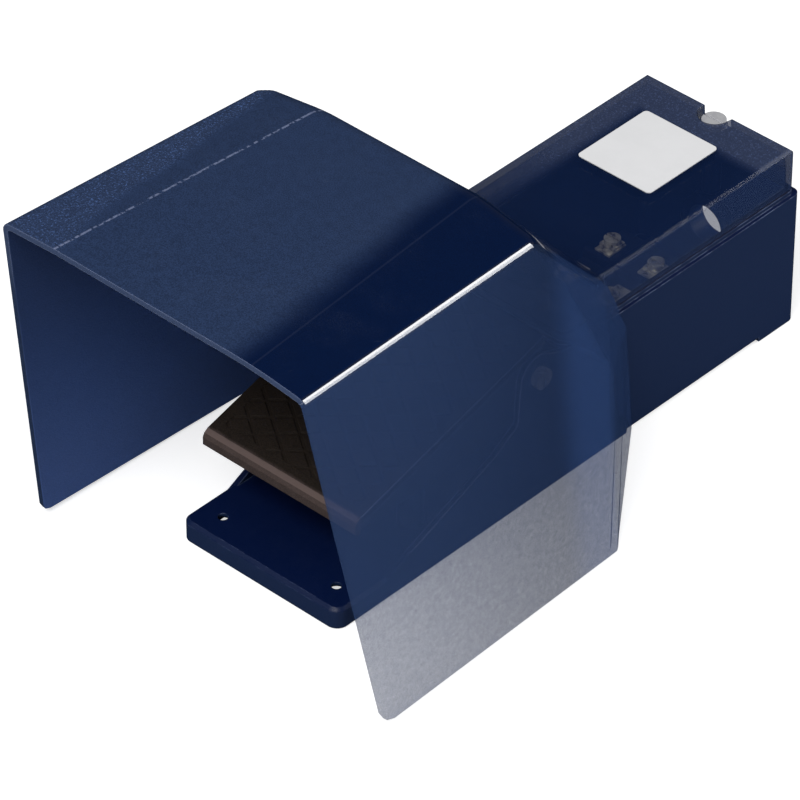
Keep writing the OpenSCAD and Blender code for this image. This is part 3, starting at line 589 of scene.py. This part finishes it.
def paint_rubber(settings):
    """Brown rubber, paler along the front lip, with painted highlights along the lip's rounded top
    edge and the right-hand side edges.
    """
    material, board, shader = start("tread_brown_rubber", IOR=1.5, Specular_IOR_Level=0.25)
    spot = board.spot()
    x, y, _ = board.axes(spot)
    nz = facing(board)[2]
    front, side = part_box("pedal_pad")
    grain = board.group("Moulded grain", Size=0.0011)
    wear = board.group("Edge wear", Radius=0.0008, Patch_size=0.012, Amount=0.25)
    dust = board.group("Settled dust", Amount=0.12, Patch_size=0.012)
    base = board.mix(grain.outputs["Tone"], times(settings.tread, 0.7), times(settings.tread, 1.4))
    base = board.mix(dust.outputs["Mask"], base, (0.055, 0.045, 0.038))
    wander = board.math("MULTIPLY", board.math("SUBTRACT", board.noise(spot, 120.0), 0.5), 0.002)
    lip = board.ramp(board.math("ADD", y, wander), front.y + 0.0046, front.y + 0.0026)
    base = board.mix(board.math("MULTIPLY", lip, 0.9), base, board.mix(
        grain.outputs["Tone"], times(settings.lip, 0.75), times(settings.lip, 1.2)))
    # Painted highlight along the lip's rounded top edge
    ridge = board.math("MULTIPLY", lip, board.math("MULTIPLY", board.ramp(nz, 0.35, 0.6),
                                                   board.ramp(nz, 0.97, 0.85)))
    base = board.mix(board.math("MULTIPLY", ridge, 0.8), base, times(settings.lip, 2.4))
    base = board.mix(wear.outputs["Mask"], base, (0.085, 0.066, 0.052))
    # Painted highlight: a light bluish line along the pad's right-hand side edges
    flank_painted_highlight = board.math("MULTIPLY", board.ramp(x, side.x - 0.003, side.x - 0.001),
                       board.ramp(wear.outputs["Edge"], 0.02, 0.10))
    base = board.mix(board.math("MULTIPLY", flank_painted_highlight, board.math("SUBTRACT", 1.0, lip)), base,
                     (0.42, 0.46, 0.58))
    board.feed(shader["Base Color"], base)
    board.feed(shader["Roughness"], board.math("SUBTRACT", 0.72, board.math(
        "MULTIPLY", lip, 0.25)))
    board.feed(shader["Normal"], bump(board, grain.outputs["Height"], 0.00009,
                                      wear.outputs["Round normal"]))
    return material


def paint_metal(name, tint, dull, rough, brushed, bare=0.6):
    """Turned or plated metal under a dull passive film, with faint stains and rubbed edges; where
    tint and dull lie far apart, as on the brass, the stain patches are strong and stand in for
    painted glints as well.
    """
    material, board, shader = start(name, Metallic=bare)
    spot = board.spot()
    wear = board.group("Edge wear", Radius=0.0004, Patch_size=0.003, Amount=0.8)
    scuffs = board.group("Hairline scuffs", Scale=brushed, Amount=0.6)
    stains_and_painted_glints = board.ramp(board.noise(spot, 240.0, 5.0, 0.65), 0.40, 0.68)
    base = board.mix(stains_and_painted_glints, tint, dull)
    base = board.mix(wear.outputs["Mask"], base, times(tint, 1.25))
    board.feed(shader["Base Color"], base)
    spread = board.math("MULTIPLY", board.math("ADD", stains_and_painted_glints, scuffs.outputs["Mask"]), 0.14)
    board.feed(shader["Roughness"], board.math("ADD", rough, spread))
    board.feed(shader["Normal"], bump(board, scuffs.outputs["Height"], 0.00002,
                                      wear.outputs["Round normal"]))
    return material


def paint_plastic(name, tint, rough, size=0.0008):
    """Small moulded parts: fine grain, and edges painted slightly lighter, as a painted highlight.
    """
    material, board, shader = start(name, IOR=1.5, Specular_IOR_Level=0.4)
    grain = board.group("Moulded grain", Size=size)
    wear = board.group("Edge wear", Radius=0.0005, Patch_size=0.004, Amount=0.35)
    dust = board.group("Settled dust", Amount=0.15, Patch_size=0.01)
    base = board.mix(grain.outputs["Tone"], times(tint, 0.88),
                     times(tint, 1.12))
    # Painted highlight: edges lightened in patches
    base = board.mix(wear.outputs["Mask"], base, tuple(min(1.0, c * 1.6 + 0.03) for c in tint))
    base = board.mix(dust.outputs["Mask"], base, (0.20, 0.20, 0.21))
    board.feed(shader["Base Color"], base)
    board.feed(shader["Roughness"], board.math("ADD", rough, board.math(
        "MULTIPLY", grain.outputs["Tone"], 0.10)))
    board.feed(shader["Normal"], bump(board, grain.outputs["Height"], 0.00004,
                                      wear.outputs["Round normal"]))
    return material


def paint_label(settings):
    """Bare film label: satin white with a faint weave of the film."""
    material, board, shader = start("label_white_film", IOR=1.48, Specular_IOR_Level=0.5)
    spot = board.spot()
    fibre = board.noise(spot, 900.0, 4.0, 0.7)
    tone = board.ramp(board.noise(spot, 60.0, 3.0), 0.35, 0.7)
    base = board.mix(board.math("MULTIPLY", tone, 0.5), settings.label,
                     times(settings.label, 0.94))
    base = board.mix(board.math("MULTIPLY", fibre, 0.15), base, (0.70, 0.70, 0.74))
    board.feed(shader["Base Color"], base)
    board.feed(shader["Roughness"], board.math("ADD", 0.35, board.math("MULTIPLY", fibre, 0.1)))
    wear = board.group("Edge wear", Radius=0.0003, Patch_size=0.004, Amount=0.2)
    board.feed(shader["Normal"], bump(board, fibre, 0.00001, wear.outputs["Round normal"]))
    return material


# ------------------------------------------------------------------ mesh helpers

def finish_piece(name, mesh, material, body, nodes):
    """Adds the mesh as an object that rides on a body and stands for some nodes."""
    piece = bpy.data.objects.new(name, mesh)
    bpy.context.scene.collection.objects.link(piece)
    if material:
        mesh.materials.append(material)
    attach(piece, body)
    if nodes:
        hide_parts(*nodes)
    return piece


def apply_modifiers(piece):
    """Bakes the piece's modifiers into its mesh."""
    graph = bpy.context.evaluated_depsgraph_get()
    graph.update()
    baked = bpy.data.meshes.new_from_object(piece.evaluated_get(graph), depsgraph=graph)
    piece.modifiers.clear()
    piece.data = baked
    return piece


def dress(node, material):
    """Gives a node of the frame its finish."""
    piece = NODES[node]
    if not piece.material_slots:
        raise RuntimeError(f"{node} has no material slot")
    for slot in piece.material_slots:
        slot.material = material


# ------------------------------------------------------------------ hood

# Corner points on the middle of the sheet, right-hand side, in millimetres
HOOD_POINTS = {
    "flat_f": (54.1, -55.5, 174.7), "fold_f": (81.0, -55.5, 171.8),
    "flat_r": (43.0, 83.4, 175.1), "fold_r": (74.8, 83.4, 168.8),
    "low_f": (97.5, -27.9, 1.9), "knee": (82.0, 123.0, 83.7), "low_r": (91.1, 119.3, 2.2),
    "lid": (46.8, 157.4, 91.8), "waist": (46.8, 172.5, 56.0), "tail": (46.8, 178.0, 4.7),
}
# The left half as made: a little higher than the mirrored right half
LEFT_SHIFT = {"fold_f": (-1.5, 0.0, 1.7), "fold_r": (-0.8, 0.0, 1.9), "low_f": (0.0, 0.0, 1.6),
              "low_r": (0.0, 0.0, 2.0)}
TOE = {1: 4.6, -1: 2.6}
SIDE_PANELS = (
    ("fold_f", "fold_r", "knee", "low_r", "toe_b", "toe_m", "toe_f"),
    ("fold_r", "knee", "lid"), ("knee", "waist", "lid"),
    ("knee", "low_r", "waist"), ("low_r", "tail", "waist"),
)
BEVEL_PANELS = (("flat_f", "fold_f", "fold_r", "flat_r"), ("flat_r", "fold_r", "lid"))
SOFT_FOLDS = (("flat_f", "flat_r"),)
# Share of the soft fold that the left crease takes, and the hood's clear height in metres
CREASE = 0.14
FOOT_GAP = 0.0004
# Faces that meet at less than this are shaded as one, and rims sharper than the other are rounded
SMOOTH_UNDER = radians(22)
RIM_ANGLE = radians(60)
FIRM_FOLDS = (("flat_r", "fold_r"), ("flat_r", "lid"), ("fold_r", "lid"))
HARD_FOLDS = (("fold_f", "fold_r"), ("fold_r", "knee"), ("knee", "lid"), ("knee", "low_r"),
              ("knee", "waist"), ("low_r", "waist"))
FLANGE_PLAN = ((-71.0, 139.0), (68.7, 139.0), (55.9, 153.5), (-58.2, 153.5))
FLANGE_Z = (70.3, 73.3)
FLANGE_HOLES = ((-20.5, 148.5), (20.5, 148.5))
FLANGE_HOLE_R = 2.8


def hood_points():
    """All corner points in metres, right and left, with the rounded front toes."""
    placed = {}
    for side in (1, -1):
        points = {key: Vector(value) for key, value in HOOD_POINTS.items()}
        if side < 0:
            for key, shift in LEFT_SHIFT.items():
                points[key] += Vector((-shift[0], shift[1], shift[2]))
        low = points.pop("low_f")
        back = (points["low_r"] - low).normalized() * TOE[side]
        up = (points["fold_f"] - low).normalized() * TOE[side]
        points["toe_b"] = low + back
        points["toe_m"] = low + (back + up) * 0.29
        points["toe_f"] = low + up
        for key, p in points.items():
            placed[key, side] = at(p.x * side, p.y, p.z)
    return placed


def widen_rims(bm, reach):
    """Moves every free rim outwards in its own panel, so that the sheet ends where it should."""
    outward = {}
    for edge in bm.edges:
        if edge.is_boundary:
            panel = edge.link_faces[0]
            along = (edge.verts[1].co - edge.verts[0].co).normalized()
            out = along.cross(panel.normal).normalized()
            middle = (edge.verts[0].co + edge.verts[1].co) / 2
            if out.dot(middle - panel.calc_center_median()) < 0:
                out.negate()
            for vert in edge.verts:
                outward.setdefault(vert, []).append(out)
    for vert, (a, b) in outward.items():
        vert.co += (a + b) * (reach / max(0.5, 1 + a.dot(b)))


def hood_mesh(settings):
    """The folded sheet as one closed mesh; faces on the see-through side carry a mark."""
    mesh = bpy.data.meshes.new("hood")
    bm = bmesh.new()
    weight = bm.edges.layers.float.new("bevel_weight_edge")
    clear = bm.faces.layers.int.new("clear_side")
    verts = {key: bm.verts.new(p) for key, p in hood_points().items()}

    def face(names, side, mark=0):
        corners = [verts[n, side] for n in names]
        made = bm.faces.new(corners if side > 0 else corners[::-1])
        made[clear] = mark

    for side in (1, -1):
        for names in BEVEL_PANELS:
            face(names, side)
        for names in SIDE_PANELS:
            face(names, side, 1 if side > 0 else 0)
    for names in (("flat_f", "flat_r"), ("flat_r", "lid")):
        a, b = names
        bm.faces.new((verts[a, -1], verts[a, 1], verts[b, 1], verts[b, -1]))
    bm.edges.ensure_lookup_table()
    for folds, share_of_soft in ((SOFT_FOLDS, 1.0), (FIRM_FOLDS, 0.45),
                                 (HARD_FOLDS, settings.hard_fold / settings.soft_fold)):
        for a, b in folds:
            for side in (1, -1):
                edge = bm.edges.get((verts[a, side], verts[b, side]))
                edge[weight] = CREASE if folds is SOFT_FOLDS and side < 0 else share_of_soft
    rear = bm.edges.get((verts["flat_r", 1], verts["flat_r", -1]))
    rear[weight] = 0.45
    bmesh.ops.recalc_face_normals(bm, faces=bm.faces)
    widen_rims(bm, settings.sheet / 2)
    bm.to_mesh(mesh)
    bm.free()
    return mesh


def build_hood_sheet(settings):
    piece = bpy.data.objects.new("hood_sheet", hood_mesh(settings))
    bpy.context.scene.collection.objects.link(piece)
    rounded = piece.modifiers.new("folds", "BEVEL")
    rounded.limit_method = "WEIGHT"
    rounded.width = settings.soft_fold
    rounded.segments = 6
    rounded.use_clamp_overlap = True
    thick = piece.modifiers.new("sheet", "SOLIDIFY")
    thick.thickness = settings.sheet
    thick.offset = 0.0
    thick.use_even_offset = True
    rims = piece.modifiers.new("rims", "BEVEL")
    rims.limit_method = "ANGLE"
    rims.angle_limit = RIM_ANGLE
    rims.width = settings.sheet * 0.16
    rims.segments = 2
    apply_modifiers(piece)
    (a, b), (c, d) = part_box("hood_shell"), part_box("hood_window")
    low = [min(p, q) for p, q in zip(a, c)]
    high = [max(p, q) for p, q in zip(b, d)]
    low[2] = FOOT_GAP
    for vert in piece.data.vertices:
        vert.co = [min(max(value, least), most) for value, least, most in zip(vert.co, low, high)]
    piece.data.shade_smooth()
    piece.data.set_sharp_from_angle(angle=SMOOTH_UNDER)
    flat = piece.modifiers.new("flat panels", "WEIGHTED_NORMAL")
    flat.keep_sharp = True
    apply_modifiers(piece)
    mesh = piece.data
    kept = mesh.attributes.new("kept_normal", "FLOAT_VECTOR", "CORNER")
    kept.data.foreach_set("vector", [c for item in mesh.corner_normals for c in item.vector])
    return piece


def add_flange(bm):
    """The flat flange under the lid's front, with its two screw holes."""
    steps = 32
    low, high = FLANGE_Z
    loops = [[bm.verts.new(at(x, y, low)) for x, y in FLANGE_PLAN]]
    for x, y in FLANGE_HOLES:
        loops.append([bm.verts.new(at(x + FLANGE_HOLE_R * cos(2 * pi * i / steps),
                                      y + FLANGE_HOLE_R * sin(2 * pi * i / steps), low))
                      for i in range(steps)])
    rims = [bm.edges.new((loop[i - 1], loop[i])) for loop in loops for i in range(len(loop))]
    filled = bmesh.ops.triangle_fill(bm, use_beauty=True, use_dissolve=False, edges=rims)
    base = [g for g in filled["geom"] if isinstance(g, bmesh.types.BMFace)]
    raised = bmesh.ops.extrude_face_region(bm, geom=base, use_keep_orig=True)
    top = [g for g in raised["geom"] if isinstance(g, bmesh.types.BMVert)]
    bmesh.ops.translate(bm, vec=(0, 0, (high - low) * MM), verts=top)
    sides = {f for v in top for f in v.link_faces}
    bmesh.ops.recalc_face_normals(bm, faces=list(sides | set(base)))


class FOOTSWITCH_OT_hood(bpy.types.Operator):
    """Folds the hood from one sheet and splits off its see-through side"""
    bl_idname = "footswitch.hood"
    bl_label = "Hood"

    def execute(self, context):
        settings = context.scene.foot_switch.hood
        grained = paint_hood(settings)
        clear = paint_window(settings)
        sheet = build_hood_sheet(settings)
        for name, mark, material, slot, nodes in (
                ("hood_folded_shell", 0, grained, "hood_opaque", ("hood_shell",)),
                ("hood_clear_side", 1, clear, "hood_clear", ("hood_window",))):
            bm = bmesh.new()
            bm.from_mesh(sheet.data)
            layer = bm.faces.layers.int["clear_side"]
            others = [f for f in bm.faces if f[layer] != mark]
            bmesh.ops.delete(bm, geom=others, context="FACES")
            if mark == 0:
                add_flange(bm)
            mesh = bpy.data.meshes.new(name)
            bm.to_mesh(mesh)
            bm.free()
            mesh.shade_smooth()
            mesh.set_sharp_from_angle(angle=SMOOTH_UNDER)
            kept = mesh.attributes["kept_normal"]
            mesh.normals_split_custom_set([item.vector for item in kept.data])
            mesh.attributes.remove(mesh.attributes["kept_normal"])
            finish_piece(name, mesh, material, "housing", nodes)
        bpy.data.objects.remove(sheet)
        return {"FINISHED"}


# ------------------------------------------------------------------ other pieces

class FOOTSWITCH_OT_casting(bpy.types.Operator):
    """Finishes the cast base"""
    bl_idname = "footswitch.casting"
    bl_label = "Casting"

    def execute(self, context):
        dress("base_casting", paint_casting(context.scene.foot_switch.body))
        return {"FINISHED"}


class FOOTSWITCH_OT_lid(bpy.types.Operator):
    """Finishes the smoked lid, its seal and its bare label"""
    bl_idname = "footswitch.lid"
    bl_label = "Lid"

    def execute(self, context):
        settings = context.scene.foot_switch
        dress("lid", paint_lid(settings.lid))
        dress("lid_gasket", paint_plastic("seal_black_rubber", (0.012, 0.012, 0.014), 0.55))
        dress("label_plate", paint_label(settings.body))
        return {"FINISHED"}


class FOOTSWITCH_OT_pedal(bpy.types.Operator):
    """Finishes the sprung pedal"""
    bl_idname = "footswitch.pedal"
    bl_label = "Pedal"

    def execute(self, context):
        settings = context.scene.foot_switch.body
        dress("pedal_pad", paint_rubber(settings))
        dress("pedal_frame", paint_plastic("pedal_black_paint", (0.010, 0.009, 0.010), 0.38))
        dress("axle_bushes", paint_plastic("bush_white_plastic", (0.62, 0.62, 0.60), 0.4))
        return {"FINISHED"}


def coil_mesh(name, settings, foot, axis, length, radius, wire, turns, dead=1.2):
    """Round wire wound into a compression spring with closed, ground-looking end turns."""
    across = axis.orthogonal().normalized()
    beside = axis.cross(across)
    count = int(turns * settings.steps)
    free = (length - wire * (1 + 2 * dead)) / (turns - 2 * dead)
    bm = bmesh.new()
    rings = []
    rise = wire / 2
    for i in range(count + 1):
        turn = i / settings.steps
        angle = 2 * pi * turn
        out = across * cos(angle) + beside * sin(angle)
        middle = foot + out * radius + axis * rise
        rings.append([bm.verts.new(middle + (out * cos(b) + axis * sin(b)) * wire / 2)
                      for b in (2 * pi * k / settings.sides for k in range(settings.sides))])
        closed = turn < dead or turn >= turns - dead
        rise += (wire if closed else free) / settings.steps
    for low, high in zip(rings, rings[1:]):
        for k in range(settings.sides):
            bm.faces.new((low[k - 1], low[k], high[k], high[k - 1]))
    bm.faces.new(rings[0])
    bm.faces.new(rings[-1][::-1])
    bmesh.ops.recalc_face_normals(bm, faces=bm.faces)
    mesh = bpy.data.meshes.new(name)
    bm.to_mesh(mesh)
    bm.free()
    mesh.shade_smooth()
    return mesh


class FOOTSWITCH_OT_springs(bpy.types.Operator):
    """Winds the return spring and the contact spring"""
    bl_idname = "footswitch.springs"
    bl_label = "Springs"

    def execute(self, context):
        settings = context.scene.foot_switch.springs
        steel = paint_metal("spring_steel", (0.42, 0.42, 0.43), (0.22, 0.22, 0.24), 0.28, 90.0)
        low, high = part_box("return_spring")
        foot = Vector(((low.x + high.x) / 2, (low.y + high.y) / 2, low.z))
        wire = settings.return_wire
        mesh = coil_mesh("return_coil", settings, foot, Vector((0, 0, 1)), high.z - low.z,
                         (high.x - low.x - wire) / 2, wire, 7.4)
        coil = finish_piece("return_coil", mesh, steel, "housing", ("return_spring",))
        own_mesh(coil)
        low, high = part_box("contact_spring")
        foot = Vector(((low.x + high.x) / 2, high.y, (low.z + high.z) / 2))
        wire = settings.contact_wire
        mesh = coil_mesh("contact_coil", settings, foot, Vector((0, -1, 0)), high.y - low.y,
                         (high.x - low.x - wire) / 2, wire, 6.4)
        coil = finish_piece("contact_coil", mesh, steel, "housing", ("contact_spring",))
        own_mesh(coil)
        return {"FINISHED"}


class FOOTSWITCH_OT_contacts(bpy.types.Operator):
    """Finishes the contact block, its terminals and the push rod"""
    bl_idname = "footswitch.contacts"
    bl_label = "Contacts"

    def execute(self, context):
        # The brass's bright tint and dark dull colour lie far apart, so its stain patches are
        # painted glints as well as stains
        brass = paint_metal("terminal_brass", (1.0, 0.95, 0.78), (0.10, 0.08, 0.05), 0.22,
                            120.0, 0.35)
        steel = paint_metal("rod_steel", (0.95, 0.95, 0.96), (0.50, 0.50, 0.52), 0.22,
                            120.0, 0.30)
        block = paint_plastic("block_navy_plastic", (0.008, 0.012, 0.030), 0.4)
        white = paint_plastic("slide_white_plastic", (0.60, 0.60, 0.58), 0.42)
        rubber = paint_plastic("small_black_rubber", (0.014, 0.013, 0.013), 0.6)
        for material, nodes in (
                (brass, ("fixed_contacts", "contact_bridge", "terminal_clamps", "terminal_screws",
                         "earth_clamp", "earth_screw", "rod_bush")),
                (steel, ("push_rod", "rod_clip", "block_screws", "actuator_arm", "arm_rivets",
                         "axle", "axle_washers", "axle_screws", "hood_screws", "hood_washers",
                         "lid_screw_washer")),
                (block, ("block_base", "block_body")),
                (white, ("contact_plunger",)),
                (rubber, ("rod_seal", "rest_buffers", "stop_buffers"))):
            for node in nodes:
                dress(node, material)
        dress("lid_screw", paint_metal("lid_screw_plated", (0.84, 0.84, 0.86),
                                       (0.70, 0.70, 0.73), 0.36, 120.0, 0.45))
        return {"FINISHED"}


# ------------------------------------------------------------------ stage

def add_softbox(name, place, target, size, power, upward):
    """A rectangular lamp that faces its target, its second side along the upward direction."""
    data = bpy.data.lights.new(name, "AREA")
    data.shape = "RECTANGLE"
    data.size, data.size_y = size
    data.energy = power
    lamp = bpy.data.objects.new(name, data)
    bpy.context.scene.collection.objects.link(lamp)
    back = (Vector(place) - Vector(target)).normalized()
    right = Vector(upward).cross(back).normalized()
    turn = Matrix((right, back.cross(right), back)).transposed().to_4x4()
    lamp.matrix_world = Matrix.Translation(place) @ turn


def build_floor(settings):
    mesh = bpy.data.meshes.new("floor")
    bm = bmesh.new()
    bmesh.ops.create_grid(bm, x_segments=2, y_segments=2, size=8.0)
    bm.to_mesh(mesh)
    bm.free()
    material, board, shader = start("floor_pale", Specular_IOR_Level=0.0, Roughness=0.9)
    spot = board.spot()
    tone = board.ramp(board.noise(spot, 3.0, 3.0), 0.3, 0.7)
    base = board.mix(board.math("MULTIPLY", tone, 0.1), settings.floor,
                     times(settings.floor, 0.97))
    rays = board.put("ShaderNodeLightPath").outputs
    board.feed(shader["Base Color"], board.mix(rays["Is Glossy Ray"], base, (0.02, 0.03, 0.05)))
    board.feed(shader["Emission Color"], base)
    board.feed(shader["Emission Strength"], board.math("MULTIPLY", rays["Is Camera Ray"], 0.95))
    mesh.materials.append(material)
    floor = bpy.data.objects.new("floor", mesh)
    bpy.context.scene.collection.objects.link(floor)
    floor.location.z = -0.0006


def build_world():
    """White to the camera, dim to everything else."""
    world = bpy.data.worlds.new("studio")
    world.use_nodes = True
    bpy.context.scene.world = world
    board = Board(world.node_tree)
    seen = board.put("ShaderNodeLightPath").outputs["Is Camera Ray"]
    board.feed(world.node_tree.nodes["Background"].inputs["Color"], board.mix(
        seen, (0.055, 0.058, 0.065), (1.0, 1.0, 1.0)))


CAMERA_PLACE = (1.35133, -1.488705, 1.617486)
SENSOR_WIDTH = 36.0
# Name, place, target, size, power and upward direction of each lamp
LAMPS = (
    ("front_box", (0.3, -1.3, 1.8), (0.0, 0.0, 0.08), (1.4, 1.0), 38.0, (0.0, 0.0, 1.0)),
    ("rim_box", (1.0, 0.88, 0.84), (0.06, -0.05, 0.15), (1.5, 0.75), 12.5, (-0.6, 0.0, 0.8)),
)


def build_camera(settings):
    a, e, r = settings.azimuth, settings.elevation, settings.roll
    back = Vector((sin(a) * cos(e), -cos(a) * cos(e), sin(e)))
    right = Vector((cos(a), sin(a), 0.0))
    up = back.cross(right)
    right, up = right * cos(r) + up * sin(r), up * cos(r) - right * sin(r)
    data = bpy.data.cameras.new("camera")
    data.lens = settings.lens
    data.sensor_width = SENSOR_WIDTH
    data.clip_end = 50.0
    camera = bpy.data.objects.new("camera", data)
    bpy.context.scene.collection.objects.link(camera)
    turn = Matrix((right, up, back)).transposed().to_4x4()
    camera.matrix_world = Matrix.Translation(CAMERA_PLACE) @ turn
    bpy.context.scene.camera = camera


class FOOTSWITCH_OT_stage(bpy.types.Operator):
    """Sets up the floor, the soft lights and the camera"""
    bl_idname = "footswitch.stage"
    bl_label = "Stage"

    def execute(self, context):
        settings = context.scene.foot_switch.stage
        build_floor(settings)
        build_world()
        build_camera(settings)
        for lamp in LAMPS:
            add_softbox(*lamp)
        context.scene.view_settings.view_transform = "Standard"
        return {"FINISHED"}


# ------------------------------------------------------------------ panel and run

OPERATORS = (FOOTSWITCH_OT_stage, FOOTSWITCH_OT_casting, FOOTSWITCH_OT_hood, FOOTSWITCH_OT_lid,
             FOOTSWITCH_OT_pedal, FOOTSWITCH_OT_springs, FOOTSWITCH_OT_contacts)


class FOOTSWITCH_PT_panel(bpy.types.Panel):
    bl_idname = "FOOTSWITCH_PT_panel"
    bl_label = "Foot Switch"
    bl_space_type = "VIEW_3D"
    bl_region_type = "UI"
    bl_category = "Foot Switch"

    def draw(self, context):
        settings = context.scene.foot_switch
        for title, group in (("Hood", settings.hood), ("Lid", settings.lid),
                             ("Body", settings.body), ("Springs", settings.springs),
                             ("Stage", settings.stage)):
            box = self.layout.box()
            box.label(text=title)
            for key in group.bl_rna.properties.keys():
                if key not in ("rna_type", "name"):
                    box.prop(group, key)
        for operator in OPERATORS:
            self.layout.operator(operator.bl_idname)


CLASSES = (HoodSettings, LidSettings, BodySettings, SpringSettings, StageSettings,
           FootSwitchSettings, *OPERATORS, FOOTSWITCH_PT_panel)


def register():
    for item in CLASSES:
        bpy.utils.register_class(item)
    bpy.types.Scene.foot_switch = PointerProperty(type=FootSwitchSettings)


def unregister():
    del bpy.types.Scene.foot_switch
    for item in reversed(CLASSES):
        bpy.utils.unregister_class(item)


def main():
    register()
    for operator in OPERATORS:
        group, name = operator.bl_idname.split(".")
        getattr(getattr(bpy.ops, group), name)()


if __name__ == "__main__":
    main()
